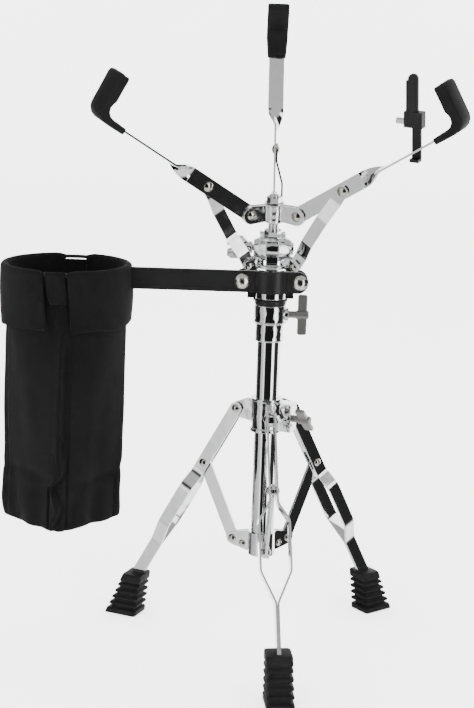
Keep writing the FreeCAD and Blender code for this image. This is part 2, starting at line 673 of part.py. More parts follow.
def brace_geometry():
    """Length and elevation of the tripod brace, from the leg's rivet down to the lower bracket."""
    angle = math.radians(value("leg_angle"))
    radius = value("leg_pivot_radius") + value("leg_to_rivet") * math.sin(angle)
    height = value("leg_pivot_height") - value("leg_to_rivet") * math.cos(angle)
    run = radius - value("leg_pivot_radius")
    drop = height - value("brace_foot_height")
    return radius, height, math.hypot(run, drop), 180 + math.degrees(math.atan2(drop, run))


def build_leg_brace(name):
    radius, height, length, elevation = brace_geometry()
    half = value("strip_width") / 2
    hole = value("pivot_radius + running_clearance")
    strip = bent_strip([(-half, 0), (length + half, 0)], 1.0, value("brace_thickness"), value("strip_width"),
                       [(0, hole), (length, hole)])
    shaped("%s_leg_brace" % name, strip, radial(leg_azimuth(name), radius, height, elevation))


def build_lower_bracket():
    """A pressed ring at the tube's foot with a pair of ear plates for each brace."""
    design = Design("bracket_pressing")
    design.revolve([("base_tube_radius", "lower_ring_bottom"), ("lower_ring_radius", "lower_ring_bottom"),
                    ("lower_ring_radius", "lower_ring_top"), ("base_tube_radius", "lower_ring_top")])
    inner = "(brace_thickness / 2 + side_clearance)"
    outline = [("lower_ring_radius - 1", "lower_ring_bottom + 1"),
               ("leg_pivot_radius", "brace_foot_height - ear_tip_radius"),
               ("leg_pivot_radius + ear_tip_radius * 0.7", "brace_foot_height - ear_tip_radius * 0.7"),
               ("leg_pivot_radius + ear_tip_radius", "brace_foot_height"),
               ("leg_pivot_radius + ear_tip_radius * 0.7", "brace_foot_height + ear_tip_radius * 0.7"),
               ("leg_pivot_radius", "brace_foot_height + ear_tip_radius"),
               ("lower_ring_radius - 1", "lower_ring_top - 1")]
    plates = []
    for offset in ("%s" % inner, "-%s - ear_plate" % inner):
        plates.append(design.pad(design.polygon("XZ_Plane", outline, offset), "ear_plate", midplane=False))
    design.around(plates, 3)
    place = turned_about_z(value("tripod_azimuth"))
    holes = []
    for name, turn in LEG_AZIMUTHS.items():
        across = turned(z=turn) * shifted(x=value("leg_pivot_radius"), y=-20, z=value("brace_foot_height"))
        holes.append(cylinder("bracket_pin_hole_" + name, "pivot_radius", "40",
                              place * across * turned(x=-90)))
        inboard = turned(z=turn) * shifted(x=value("lower_ring_radius + plate_rivet_inset"), y=-20,
                                           z=value("brace_foot_height - 4"))
        holes.append(cylinder("bracket_rivet_hole_" + name, "pivot_radius", "40",
                              place * inboard * turned(x=-90)))
    design.body.Placement = place
    finished(cut("lower_bracket", design.body, holes), "lower_bracket")


def build_lower_bracket_rivets():
    """A through rivet near the ring and a headed stub in each ear plate at the brace pivot."""
    face = "brace_thickness / 2 + side_clearance + ear_plate"
    pieces = []
    for name in LEG_AZIMUTHS:
        inboard = radial(leg_azimuth(name), value("lower_ring_radius + plate_rivet_inset"),
                         value("brace_foot_height - 4"))
        pieces.append(rivet("plate_rivet_" + name, "pivot_radius", "-(%s)" % face, face,
                            "rivet_head_radius - 0.6",
                            "rivet_head_height - 0.6", inboard))
        pivot = radial(leg_azimuth(name), value("leg_pivot_radius"), value("brace_foot_height"))
        for side in (1, -1):
            place = pivot * shifted(y=side * value(face)) * turned(x=-90 * side)
            head = dome("stub_head_%s_%d" % (name, side + 1), "rivet_head_radius", "rivet_head_height", place)
            stub = cylinder("stub_%s_%d" % (name, side + 1), "pivot_radius", "ear_plate",
                            place * shifted(z=-value("ear_plate")))
            pieces.append(fused("stub_rivet_%s_%d" % (name, side + 1), [head, stub]))
    finished(compound("lower_bracket_rivets", pieces), "lower_bracket_rivets")


# ---- tilter ----------------------------------------------------------------------------------------------

tilter_frame = shifted(z=value("tilter_height")) * turned(z=value("basket_azimuth"))
basket_frame = tilter_frame * turned(x=value("basket_tilt"))


def build_tilter_base():
    """The casting on the upper tube: a round socket, a flat neck and the toothed disc of the tilter."""
    design = Design("socket_turning")
    bore = "upper_tube_radius + running_clearance"
    bottom = "flange_top + landing_gap"
    design.revolve([(bore, bottom), ("socket_radius - 0.8", bottom), ("socket_radius", "%s + 0.8" % bottom),
                    ("socket_radius", "socket_top - 2"), ("socket_radius - 2", "socket_top"),
                    ("0", "socket_top"),
                    ("0", "upper_tube_top + landing_gap"), (bore, "upper_tube_top + landing_gap")])
    half = "tilter_neck_half"
    neck = block("tilter_neck", ("-" + half, "-neck_depth / 2", "socket_top - 2"),
                 (half, "neck_depth / 2", "tilter_height"), turned(z=value("basket_azimuth")))
    disc = cylinder("tilter_disc", "tilter_disc_radius", "2 * " + half,
                    tilter_frame * shifted(x=-value(half)) * turned(y=90))
    hole = cylinder("tilter_disc_hole", "tilt_bolt_radius + running_clearance", "60",
                    tilter_frame * shifted(x=-30) * turned(y=90))
    solid = fused("tilter_base_solid", [design.body, neck, disc])
    finished(cut("tilter_base", solid, [hole]), "tilter_base")


def cheek(name, side):
    """One coned cheek of the yoke, outside the disc on the given side."""
    start = side * value("cheek_start")
    return cone(name, "cheek_inner_radius", "cheek_outer_radius", "cheek_thickness",
                basket_frame * shifted(x=start) * turned(y=90 * side))


def build_tilter_yoke():
    reach = "cheek_start + cheek_thickness * 0.55"
    bridge = block("yoke_bridge", ("-(%s)" % reach, "-bridge_depth / 2", "bridge_bottom"),
                   (reach, "bridge_depth / 2", "bridge_top"), basket_frame)
    rod_hole = cylinder("yoke_rod_hole", "rod_radius", "20", basket_frame * shifted(z=5))
    bolt_hole = cylinder("yoke_bolt_hole", "tilt_bolt_radius + running_clearance", "80",
                         basket_frame * shifted(x=-40) * turned(y=90))
    solid = fused("yoke_solid", [cheek("left_cheek", -1), cheek("right_cheek", 1), bridge])
    finished(cut("tilter_yoke", solid, [rod_hole, bolt_hole]), "tilter_yoke")


def build_tilter_wing_screw():
    """The long screw through both cheeks, with two blunt wings on the left."""
    design = Design("tilter_wing_screw")
    hub_end = "tilt_hub_start + tilt_hub_length"
    screw_tip = "-(cheek_start + cheek_thickness + washer_thickness + 0.6)"
    design.revolve([("0", screw_tip), ("tilt_bolt_radius", screw_tip), ("tilt_bolt_radius", "tilt_hub_start"),
                    ("tilt_hub_radius - 0.5", "tilt_hub_start"), ("tilt_hub_radius", "tilt_hub_start + 1"),
                    ("tilt_hub_radius", "%s - 2" % hub_end), ("tilt_hub_radius - 1.5", hub_end),
                    ("0", hub_end)])
    half = "tilt_wing_span / 2"
    end = "tilt_hub_start + 3 + tilt_wing_length"
    wings = design.polygon("XZ_Plane", [
        ("-5", "tilt_hub_start + 3"), ("5", "tilt_hub_start + 3"), (half, "tilt_hub_start + 10"),
        (half, "%s - 4" % end), ("%s - 3" % half, end), ("3", end), ("0.8", "%s - 8" % end),
        ("-0.8", "%s - 8" % end), ("-3", end), ("-%s + 3" % half, end), ("-%s" % half, "%s - 4" % end),
        ("-%s" % half, "tilt_hub_start + 10")])
    design.pad(wings, "tilt_wing_thickness")
    finished(design.body, "tilter_wing_screw", basket_frame * turned(y=-90))


def build_tilter_nut():
    start = value("cheek_start + cheek_thickness")
    place = basket_frame * shifted(x=start) * turned(y=90)
    nut = cylinder("tilter_nut_body", "washer_radius", "washer_thickness", place)
    hole = cylinder("tilter_nut_hole", "tilt_bolt_radius + running_clearance", "10", place * shifted(z=-2))
    finished(cut("tilter_washer", nut, [hole]), "tilter_washer")


# ---- basket ----------------------------------------------------------------------------------------------

ARM_AZIMUTHS = {"left": -60.0, "right": 60.0, "back": 180.0}


def arm_frame(name):
    """X runs out along the arm from its root pivot, Y is counter-clockwise, Z is up."""
    return basket_frame * radial(ARM_AZIMUTHS[name], value("arm_pivot_radius"), value("arm_pivot_level"),
                                 value("arm_angle"))


def build_basket_rod():
    start = value("bridge_bottom")
    rod = cylinder("rod_blank", "rod_radius", "rod_top - bridge_bottom - 1", basket_frame * shifted(z=start))
    tip = cone("rod_tip", "rod_radius", "rod_radius - 1", "1", basket_frame * shifted(z=value("rod_top") - 1))
    finished(fused("basket_rod", [rod, tip]), "basket_rod")


def build_jam_nut():
    place = basket_frame * shifted(z=value("bridge_top"))
    nut = hexagon("jam_nut_body", "jam_nut_radius", "jam_nut_top - bridge_top", place)
    hole = cylinder("jam_nut_hole", "rod_radius", "30", place * shifted(z=-5))
    finished(cut("rod_jam_nut", nut, [hole]), "rod_jam_nut")


def build_basket_nut():
    place = basket_frame * shifted(z=value("spider_hub_top + nut_gap"))
    nut = hexagon("basket_nut_body", "basket_nut_radius", "basket_nut_height", place)
    hole = cylinder("basket_nut_hole", "rod_radius + running_clearance", "30", place * shifted(z=-5))
    finished(cut("basket_nut", nut, [hole]), "basket_nut")


def build_upper_spider():
    """The sliding hub, with a pair of ear plates for each arm."""
    design = Design("spider_casting")
    bore = "rod_radius + running_clearance"
    design.revolve([(bore, "spider_hub_bottom"), ("spider_hub_radius - 1", "spider_hub_bottom"),
                    ("spider_hub_radius", "spider_hub_bottom + 1"),
                    ("spider_hub_radius", "spider_hub_top - 1"),
                    ("spider_hub_radius - 1", "spider_hub_top"), (bore, "spider_hub_top")])
    inner = "ear_inner"
    outline = [("spider_hub_radius - 1.5", "spider_hub_bottom + 2"),
               ("arm_pivot_radius", "arm_pivot_level - upper_ear_radius"),
               ("arm_pivot_radius", "arm_pivot_level + upper_ear_radius"),
               ("spider_hub_radius - 1.5", "spider_hub_top - 0.5")]
    plates = []
    for offset in ("%s" % inner, "-%s - ear_thickness" % inner):
        plates.append(design.pad(design.polygon("XZ_Plane", outline, offset), "ear_thickness",
                                 midplane=False))
        tip = design.circle("XZ_Plane", "arm_pivot_radius", "arm_pivot_level", "upper_ear_radius", offset)
        plates.append(design.pad(tip, "ear_thickness", midplane=False))
    design.around(plates, 3)
    first = basket_frame * turned_about_z(ARM_AZIMUTHS["left"])
    design.body.Placement = first
    finished(cut("upper_spider", design.body, ear_holes("upper", value("arm_pivot_level"))), "upper_spider")


def ear_holes(name, level):
    holes = []
    for arm, azimuth in ARM_AZIMUTHS.items():
        place = basket_frame * radial(azimuth, value("arm_pivot_radius"),
                                      level) * shifted(y=-20) * turned(x=-90)
        holes.append(cylinder("%s_ear_hole_%s" % (name, arm), "basket_pivot_radius", "40", place))
    return holes


def build_upper_spider_rivets():
    face = "ear_inner + ear_thickness"
    rivets = []
    for name, azimuth in ARM_AZIMUTHS.items():
        place = basket_frame * radial(azimuth, value("arm_pivot_radius"), value("arm_pivot_level"))
        rivets.append(rivet("arm_root_rivet_" + name, "basket_pivot_radius", "-(%s)" % face, face,
                            "arm_rivet_head",
                            "rivet_head_height",
                            place))
    finished(compound("upper_spider_rivets", rivets), "upper_spider_rivets")


def build_lower_spider():
    """The fixed ring under the cheeks, slotted for the tilter's neck, with ears for the braces."""
    level = "lower_pivot_level"
    design = Design("lower_spider_body")
    design.revolve([("0", "%s - 1.5" % level), ("lower_ring_outer", "%s - 1.5" % level),
                    ("lower_ring_outer", "%s - 1.5 + ring_plate" % level),
                    ("0", "%s - 1.5 + ring_plate" % level)])
    inner = "ear_inner"
    top = "%s + lower_ear_rise" % level
    bottom = "%s - lower_ear_drop" % level
    tip = "arm_pivot_radius + ear_reach"
    outline = [("lower_ring_outer - 7", bottom), ("%s - 3" % tip, bottom), (tip, "%s + 3" % bottom),
               (tip, "%s - 4" % top), ("%s - 5" % tip, top), ("lower_ring_outer - 2", top),
               ("lower_ring_outer - 7", "%s - 6" % top)]
    plates = []
    for offset in ("%s" % inner, "-%s - ear_thickness" % inner):
        plates.append(design.pad(design.polygon("XZ_Plane", outline, offset), "ear_thickness",
                                 midplane=False))
    design.around(plates, 3)
    design.body.Placement = basket_frame * turned_about_z(ARM_AZIMUTHS["left"])
    slot = block("neck_slot", ("-neck_slot_half_width", "-neck_slot_half_length", "-40"),
                 ("neck_slot_half_width", "neck_slot_half_length", "0"), basket_frame)
    tools = [slot, cheek("left_cheek_seat", -1), cheek("right_cheek_seat", 1)]
    tools += ear_holes("lower", value(level))
    finished(cut("lower_spider", design.body, tools), "lower_spider")


def build_lower_spider_rivets():
    """A headed stub in each lower ear plate, stopping short of the brace between them."""
    face = "ear_inner + ear_thickness"
    pieces = []
    for name, azimuth in ARM_AZIMUTHS.items():
        pivot = basket_frame * radial(azimuth, value("arm_pivot_radius"), value("lower_pivot_level"))
        for side in (1, -1):
            place = pivot * shifted(y=side * value(face)) * turned(x=-90 * side)
            head = dome("brace_stub_head_%s_%d" % (name, side + 1), "stub_head", "stub_head_height", place)
            stub = cylinder("brace_stub_%s_%d" % (name, side + 1), "basket_pivot_radius", "ear_thickness",
                            place * shifted(z=-value("ear_thickness")))
            pieces.append(fused("brace_stub_rivet_%s_%d" % (name, side + 1), [head, stub]))
    finished(compound("lower_spider_rivets", pieces), "lower_spider_rivets")


def arm_shape():
    """A flat strip with a quarter twist: upright at the root, lying flat at the drum rest."""
    thickness = value("arm_thickness")
    width = value("arm_width")
    root = bent_strip([(-width / 2, 0), (value("twist_start"), 0)], 1.0, thickness, width,
                      [(0, value("basket_pivot_radius + running_clearance")),
                       (value("arm_to_rivet"), value("basket_pivot_radius"))], round_end=False)
    steps = 9
    sections = []
    for step in range(steps + 1):
        share = step / steps
        x = value("twist_start") + share * (value("twist_end") - value("twist_start"))
        turn = math.radians(90 * share)
        across = Vector(0, math.sin(turn), math.cos(turn)) * (width / 2)
        through = Vector(0, math.cos(turn), -math.sin(turn)) * (thickness / 2)
        centre = Vector(x, 0, 0)
        corners = [centre + across + through, centre + across - through, centre - across - through,
                   centre - across + through]
        sections.append(Part.makePolygon(corners + corners[:1]))
    twist = Part.makeLoft(sections, True, True)
    outer = Part.makeBox(value("arm_length - twist_end"), width, thickness,
                         Vector(value("twist_end"), -width / 2, -thickness / 2))
    return root.fuse([twist, outer]).removeSplitter()


def build_drum_rest(name):
    """A rubber hook on the arm's end: a sleeve, a round notch for the drum's hoop and an upright pad."""
    design = Design("%s_drum_rest" % name)
    half = "hook_leg / 2"
    leg = design.polygon("XZ_Plane", [("hook_start", "-" + half), ("hook_inner", "-" + half),
                                      ("hook_inner", half), ("hook_start", half)])
    design.pad(leg, "hook_leg_width")
    pad_outline = design.polygon("XZ_Plane", [
        ("hook_inner - 5", "-" + half), ("hook_inner + 2", "-%s + 0.6" % half), ("hook_inner + 8", "1"),
        ("hook_outer", "8"), ("hook_outer + hook_lean", "hook_top - 3"),
        ("hook_outer + hook_lean - 2", "hook_top"), ("hook_inner + hook_lean + 6", "hook_top - 1.5"),
        ("hook_inner + hook_lean", "hook_top"), ("hook_inner", "19"), ("hook_inner - 5", half)])
    design.pad(pad_outline, "hook_width")
    notch = design.circle("XZ_Plane", "hook_inner - notch_inset", "%s + notch_radius" % half, "notch_radius")
    design.pocket(notch, "hook_width + 2")
    strip = design.polygon("XZ_Plane", [("hook_start - 1", "-arm_thickness / 2"),
                                        ("arm_length", "-arm_thickness / 2"),
                                        ("arm_length", "arm_thickness / 2"),
                                        ("hook_start - 1", "arm_thickness / 2")])
    design.pocket(strip, "arm_width")
    finished(design.body, "%s_drum_rest" % name, arm_frame(name))


def build_arm(name):
    shaped("%s_arm" % name, arm_shape(), arm_frame(name))
    build_drum_rest(name)
    place = arm_frame(name) * shifted(x=value("arm_to_rivet"))
    brace_face = "arm_thickness * 1.5 + 2 * ear_clearance"
    pin = rivet("%s_arm_rivet" % name, "basket_pivot_radius", "-(%s)" % brace_face, "arm_thickness / 2",
                "arm_rivet_head", "rivet_head_height", place)
    finished(pin, "%s_arm_rivet" % name)


def basket_brace_geometry():
    """Place, length and elevation of a basket brace, from the arm's rivet to the lower ear."""
    angle = math.radians(value("arm_angle"))
    radius = value("arm_pivot_radius") + value("arm_to_rivet") * math.cos(angle)
    level = value("arm_pivot_level") + value("arm_to_rivet") * math.sin(angle)
    run = radius - value("arm_pivot_radius")
    drop = level - value("lower_pivot_level")
    return radius, level, math.hypot(run, drop), 180 + math.degrees(math.atan2(drop, run))


def build_basket_brace(name):
    """A strip beside the arm that steps out past the upper ear and back in to the lower ear."""
    radius, level, length, elevation = basket_brace_geometry()
    half = value("basket_brace_width") / 2
    beside = -value("arm_thickness + ear_clearance")
    aside = -value("basket_brace_offset")
    # looking down the brace, its Y points the opposite way to the arm's
    stations = [(-half, -beside), (14, -beside), (38, -aside), (length - 38, -aside), (length - 17, 0),
                (length + half - value("brace_end_setback"), 0)]
    hole = value("basket_pivot_radius + running_clearance")
    strip = bent_strip([(x, -y) for x, y in stations], 8.0, value("arm_thickness"),
                       value("basket_brace_width"),
                       [(0, hole), (length, hole)])
    shaped("%s_arm_brace" % name, strip, basket_frame * radial(ARM_AZIMUTHS[name], radius, level, elevation))


def build_accessory_clip():
    """A small clip that stands up behind the right arm: a strap and block, a bar, and a clamp screw."""
    angle = math.radians(value("arm_angle"))
    radius = value("arm_pivot_radius") + value("clip_station") * math.cos(angle)
    level = value("arm_pivot_level") + value("clip_station") * math.sin(angle)
    place = basket_frame * radial(ARM_AZIMUTHS["right"], radius, level) * turned(y=-value("clip_lean"))
    half = "clip_strap_width / 2"
    near = "arm_width / 2 + clip_gap"
    back = near + " + clip_strap_thickness"
    top = "clip_strap_height + clip_block_height - 4"
    strap = block("clip_strap", ("-" + half, near, "-clip_strap_drop"), (half, back, "clip_strap_height"),
                  place)
    body_block = block("clip_block", ("-clip_block_width + " + half, near, "clip_strap_height - 4"),
                       (half + " + 1", near + " + clip_block_depth", top), place)
    foot = block("clip_foot", ("-" + half, near + " - 6", "-clip_strap_drop - clip_foot_height"),
                 (half, back, "-clip_strap_drop"), place)
    finished(fused("accessory_clip_body", [strap, body_block, foot]), "accessory_clip_body")
    bar_left = "-%s - 5" % half
    crown_level = top + " + clip_bar_height - clip_bar_width / 2"
    bar = block("clip_bar_flat", (bar_left, near + " + 1", top),
                (bar_left + " + clip_bar_width", near + " + 4", crown_level), place)
    crown = cylinder("clip_bar_crown", "clip_bar_width / 2", "3",
                     place * shifted(x=value(bar_left + " + clip_bar_width / 2"), y=value(near + " + 4"),
                                     z=value(crown_level)) * turned(x=90))
    keeper = block("clip_keeper", (bar_left + " - 3.5", near + " + 4", top),
                   (bar_left + " + 4", near + " + 6.5", top + " + clip_bar_height - 8"), place)
    finished(fused("accessory_clip_bar", [bar, crown, keeper]), "accessory_clip_bar")
    screw = cylinder("clip_screw_body", "clip_screw_radius", "clip_screw_length",
                     place * shifted(x=value("-clip_block_width + %s - clip_gap" % half),
                                     y=value(near + " + clip_block_depth / 2"),
                                     z=value("clip_strap_height + 1")) * turned(y=-90))
    finished(screw, "accessory_clip_screw")


# ---- stick holder ----------------------------------------------------------------------------------------

holder_frame = turned(z=value("holder_azimuth"))


def half_band(name, side, bottom, top):
    """Half of a band round the liner: side -1 is in front (-Y), side 1 behind."""
    outer = cylinder(name + "_outer", "liner_outer + bar_thickness", "(%s) - (%s)" % (top, bottom),
                     shifted(z=value(bottom)))
    inner = cylinder(name + "_inner", "liner_outer", "(%s) - (%s) + 2" % (top, bottom),
                     shifted(z=value(bottom) - 1))
    low = "-40" if side < 0 else "clamp_gap_half"
    high = "-clamp_gap_half" if side < 0 else "40"
    keep = block(name + "_keep", ("-40", low, "%s - 1" % bottom), ("40", high, "%s + 1" % top))
    common = doc.addObject("Part::Common", name + "_half")
    common.Base = cut(name + "_ring", outer, [inner])
    common.Tool = keep
    return common


def clamp_holes(name):
    holes = []
    for side in (-1, 1):
        place = shifted(x=side * value("clamp_bolt_offset"), y=-30, z=value("clamp_bolt_level"))
        holes.append(cylinder("%s_hole_%d" % (name, side + 1), "clamp_bolt_radius", "60",
                              place * turned(x=-90)))
    return holes


def build_holder_bar():
    """The long flat bar: it carries the hoop, and its other end is the front half of the clamp."""
    front = "-bar_face"
    ring = "liner_outer + bar_thickness / 2"
    flat_left = block("bar_left", ("-hoop_centre + hoop_radius - 3", front, "bar_bottom"),
                      ("-sqrt((%s) ^ 2 - clamp_gap_half ^ 2)" % ring, "-clamp_gap_half", "bar_top"))
    flat_right = block("bar_right", ("sqrt((%s) ^ 2 - clamp_gap_half ^ 2)" % ring, front, "bar_bottom"),
                       ("clamp_end - bar_height / 2", "-clamp_gap_half", "bar_top"))
    round_end = cylinder("bar_round_end", "bar_height / 2", "bar_thickness",
                         shifted(x=value("clamp_end - bar_height / 2"), y=-value("clamp_gap_half"),
                                 z=value("clamp_bolt_level")) * turned(x=90))
    band = half_band("front_band", -1, "bar_bottom", "bar_top")
    solid = fused("bar_solid", [flat_left, flat_right, round_end, band])
    clear = cylinder("bar_clear", "liner_outer", "2 * socket_top")
    feature = cut("holder_bar", solid, [clear, hoop_shape("bar_hoop_seat")] + clamp_holes("bar"))
    finished(feature, "holder_bar", holder_frame)


def build_holder_clamp():
    """The rear half of the clamp: a deep saddle with a flat wing at each bolt."""
    back = "bar_face"
    half = "bar_height / 2"
    ring = "liner_outer + bar_thickness / 2"
    pieces = [half_band("rear_band", 1, "saddle_bottom", "bar_top")]
    for side, name in ((-1, "left"), (1, "right")):
        inner = "sqrt((%s) ^ 2 - clamp_gap_half ^ 2)" % ring
        spans = [("wing", "clamp_end - " + half, "bar_bottom", "bar_top"),
                 ("lobe", "saddle_half_width", "saddle_bottom + 3", "bar_bottom + 1")]
        for kind, reach, bottom, top in spans:
            near_end = "-(%s)" % reach if side < 0 else inner
            low = (near_end, "clamp_gap_half", bottom)
            high = ("-(%s)" % inner, back, top) if side < 0 else (reach, back, top)
            pieces.append(block("%s_%s" % (kind, name), low, high))
        centre = shifted(x=side * value("clamp_end - " + half), y=value(back),
                         z=value("clamp_bolt_level"))
        pieces.append(cylinder("wing_end_" + name, half, "bar_thickness", centre * turned(x=90)))
    solid = fused("clamp_solid", pieces)
    clear = cylinder("clamp_clear", "liner_outer", "2 * socket_top")
    finished(cut("holder_clamp_plate", solid, [clear] + clamp_holes("clamp")), "holder_clamp_plate",
             holder_frame)


def build_holder_liner():
    bottom = value("bar_bottom - liner_overhang")
    outer = cylinder("liner_blank", "liner_outer", "bar_height + 2 * liner_overhang", shifted(z=bottom))
    inner = cylinder("liner_bore", "liner_inner", "2 * socket_top", None)
    finished(cut("holder_liner", outer, [inner]), "holder_liner", holder_frame)


def build_clamp_bolts():
    front = "bar_face"
    bolts = []
    nuts = []
    level = value("clamp_bolt_level")
    for side in (-1, 1):
        x = side * value("clamp_bolt_offset")
        head_place = shifted(x=x, y=-value(front), z=level) * turned(x=90)
        head = dome("clamp_head_%d" % (side + 1), "bolt_head_radius", "bolt_head_height", head_place)
        shank = cylinder("clamp_shank_%d" % (side + 1), "clamp_bolt_radius",
                         "2 * bar_face + nut_height + bolt_stand_out",
                         shifted(x=x, y=-value(front), z=level) * turned(x=-90))
        bolts.append(fused("clamp_bolt_%d" % (side + 1), [head, shank]))
        nut_place = shifted(x=x, y=value(front), z=level) * turned(x=-90)
        nut = hexagon("clamp_nut_%d" % (side + 1), "nut_radius", "nut_height", nut_place)
        hole = cylinder("clamp_nut_hole_%d" % (side + 1), "clamp_bolt_radius", "20",
                        nut_place * shifted(z=-2))
        nuts.append(cut("clamp_nut_holed_%d" % (side + 1), nut, [hole]))
    finished(compound("holder_bolts", bolts), "holder_bolts", holder_frame)
    finished(compound("holder_nuts", nuts), "holder_nuts", holder_frame)


def hoop_shape(name):
    feature = doc.addObject("Part::Torus", name)
    bind(feature, Radius1="hoop_radius", Radius2="hoop_wire")
    feature.Placement = shifted(x=-value("hoop_centre"), z=value("hoop_level"))
    return feature


def bag_ring(level, radius, squareness, inset):
    """A closed section of the bag: round at the top, a rounded square on its corner at the base."""
    side = value("bag_base_side") / 2
    corner = value("bag_corner_radius")
    reach_square = side - corner
    points = []
    for quarter in range(4):
        for step in range(7):
            turn = math.radians(90 * quarter + 15 * step)
            middle = math.radians(90 * quarter + 45)
            square = Vector(math.copysign(reach_square, math.cos(middle)) + corner * math.cos(turn),
                            math.copysign(reach_square, math.sin(middle)) + corner * math.sin(turn), 0)
            angle = math.atan2(square.y, square.x)
            circle = Vector(radius * math.cos(angle), radius * math.sin(angle), 0)
            point = circle * (1 - squareness) + square * squareness
            shrink = (point.Length - inset) / point.Length
            points.append(Vector(point.x * shrink, point.y * shrink, level))
    curve = Part.BSplineCurve()
    curve.interpolate(points, PeriodicFlag=True)
    ring = Part.Wire([curve.toShape()])
    ring.rotate(Vector(0, 0, 0), Vector(0, 0, 1), value("bag_base_turn"))
    return ring


def build_bag():
    """A fabric bucket: a folded cuff at the top, round there and square at the base, open upwards."""
    wall = value("bag_wall")
    body_radius = value("bag_body_radius")
    hoop_outer = value("hoop_radius + hoop_wire + cuff_clearance")
    cuff_outer = hoop_outer + wall
    bottom = value("bag_bottom")
    cuff = value("bag_cuff_bottom")
    top = value("bag_top")
    levels = [(bottom, 1.0), (bottom + 60, 0.75), (bottom + 150, 0.3), (cuff + 2, 0.0), (top, 0.0)]
    outer = Part.makeLoft([bag_ring(level, body_radius, square, 0) for level, square in levels], True, False)
    inner_levels = [(bottom + wall, 1.0)] + levels[1:-1] + [(top + 1, 0.0)]
    inner = Part.makeLoft([bag_ring(level, body_radius, square, wall) for level, square in inner_levels],
                          True, False)
    folded = Part.makeCylinder(cuff_outer, top - cuff, Vector(0, 0, cuff))
    hoop_room = Part.makeCylinder(hoop_outer, 100, Vector(0, 0, value("hoop_level - hoop_wire")))
    bag = outer.fuse(folded).cut(inner).cut(hoop_room)
    bag.translate(Vector(-value("hoop_centre"), 0, 0))
    slack = value("bag_slack")
    bar_slot = Part.makeBox(20, value("bar_thickness") + 2 * slack, value("bar_height") + 2 * slack,
                            Vector(-value("hoop_centre") + body_radius - wall - 6, -value("bar_face") - slack,
                                   value("bar_bottom") - slack))
    shaped("stick_bag", bag.cut(bar_slot), holder_frame)


# ---- build everything ------------------------------------------------------------------------------------

build_base_tube()
build_tube_plug()
build_height_collar()
build_height_bushing()
build_height_wing_bolt()
build_lower_bracket()
build_lower_bracket_rivets()
build_leg_bracket()
build_bracket_rivets()
build_leg_lock_bolt()
for leg_name in LEG_AZIMUTHS:
    build_leg(leg_name)
    build_leg_brace(leg_name)
build_upper_tube()
build_tilter_base()
build_tilter_yoke()
build_tilter_wing_screw()
build_tilter_nut()
build_basket_rod()
build_jam_nut()
build_basket_nut()
build_upper_spider()
build_upper_spider_rivets()
build_lower_spider()
build_lower_spider_rivets()
for arm_name in ARM_AZIMUTHS:
    build_arm(arm_name)
    build_basket_brace(arm_name)
build_accessory_clip()
build_holder_bar()
build_holder_clamp()
build_holder_liner()
build_clamp_bolts()
hoop = hoop_shape("bag_hoop")
finished(hoop, "bag_hoop", holder_frame * hoop.Placement)
build_bag()

doc.recompute()
for item in doc.Objects:
    if "Invalid" in item.State or "Error" in item.State:
        raise RuntimeError("%s did not build: %s" % (item.Name, item.State))
for item in subparts:
    if item.Shape.isNull() or not item.Shape.isValid():
        raise RuntimeError("%s has no valid shape" % item.Label)

os.makedirs("parts", exist_ok=True)
for item in subparts:
    item.Shape.exportStep("parts/%s.step" % item.Label)
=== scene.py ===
import json
import math

import bpy
from mathutils import Matrix, Vector, noise


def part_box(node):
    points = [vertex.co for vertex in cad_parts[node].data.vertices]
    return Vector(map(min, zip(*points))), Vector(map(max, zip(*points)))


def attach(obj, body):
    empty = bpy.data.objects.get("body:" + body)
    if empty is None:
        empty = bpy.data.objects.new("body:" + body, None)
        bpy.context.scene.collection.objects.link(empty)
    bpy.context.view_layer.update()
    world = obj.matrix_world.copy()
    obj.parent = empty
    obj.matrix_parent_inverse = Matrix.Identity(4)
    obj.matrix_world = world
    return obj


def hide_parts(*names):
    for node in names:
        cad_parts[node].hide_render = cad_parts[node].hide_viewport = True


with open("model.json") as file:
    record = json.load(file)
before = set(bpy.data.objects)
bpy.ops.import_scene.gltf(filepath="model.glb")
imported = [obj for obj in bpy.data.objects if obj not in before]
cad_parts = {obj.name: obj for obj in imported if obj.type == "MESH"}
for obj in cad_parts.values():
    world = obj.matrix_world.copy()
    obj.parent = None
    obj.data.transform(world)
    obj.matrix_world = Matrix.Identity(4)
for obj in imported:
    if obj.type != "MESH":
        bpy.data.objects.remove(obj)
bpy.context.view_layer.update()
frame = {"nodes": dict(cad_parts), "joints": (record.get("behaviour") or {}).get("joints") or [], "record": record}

MM = 0.001
FRONT = -math.pi / 2
BACK = math.pi / 2


# ---- shader helpers --------------------------------------------------------------------------------------

# A Mix node's colour sockets share their names with its number sockets, so they go by place.
FIRST_COLOUR, SECOND_COLOUR, MIXED_COLOUR = 6, 7, 2


def plug(tree, item, socket):
    """Link a value to a socket, or set the socket to a constant."""
    if isinstance(item, Value):
        tree.links.new(item.socket, socket)
    else:
        socket.default_value = item


class Value:
    """A socket of a node tree that can stand in sums, on either side of a number."""

    def __init__(self, tree, socket):
        self.tree = tree
        self.socket = socket

    def math_node(self, operation, *items):
        """A Math node on the items, in their order."""
        node = self.tree.nodes.new("ShaderNodeMath")
        node.operation = operation
        for place, item in enumerate(items):
            plug(self.tree, item, node.inputs[place])
        return Value(self.tree, node.outputs[0])

    def maths(self, operation, *others):
        """A Math node on this value first, and then the others."""
        return self.math_node(operation, self, *others)

    def __add__(self, other):
        return self.math_node("ADD", self, other)

    def __radd__(self, other):
        return self.math_node("ADD", other, self)

    def __sub__(self, other):
        return self.math_node("SUBTRACT", self, other)

    def __rsub__(self, other):
        return self.math_node("SUBTRACT", other, self)

    def __mul__(self, other):
        return self.math_node("MULTIPLY", self, other)

    def __rmul__(self, other):
        return self.math_node("MULTIPLY", other, self)


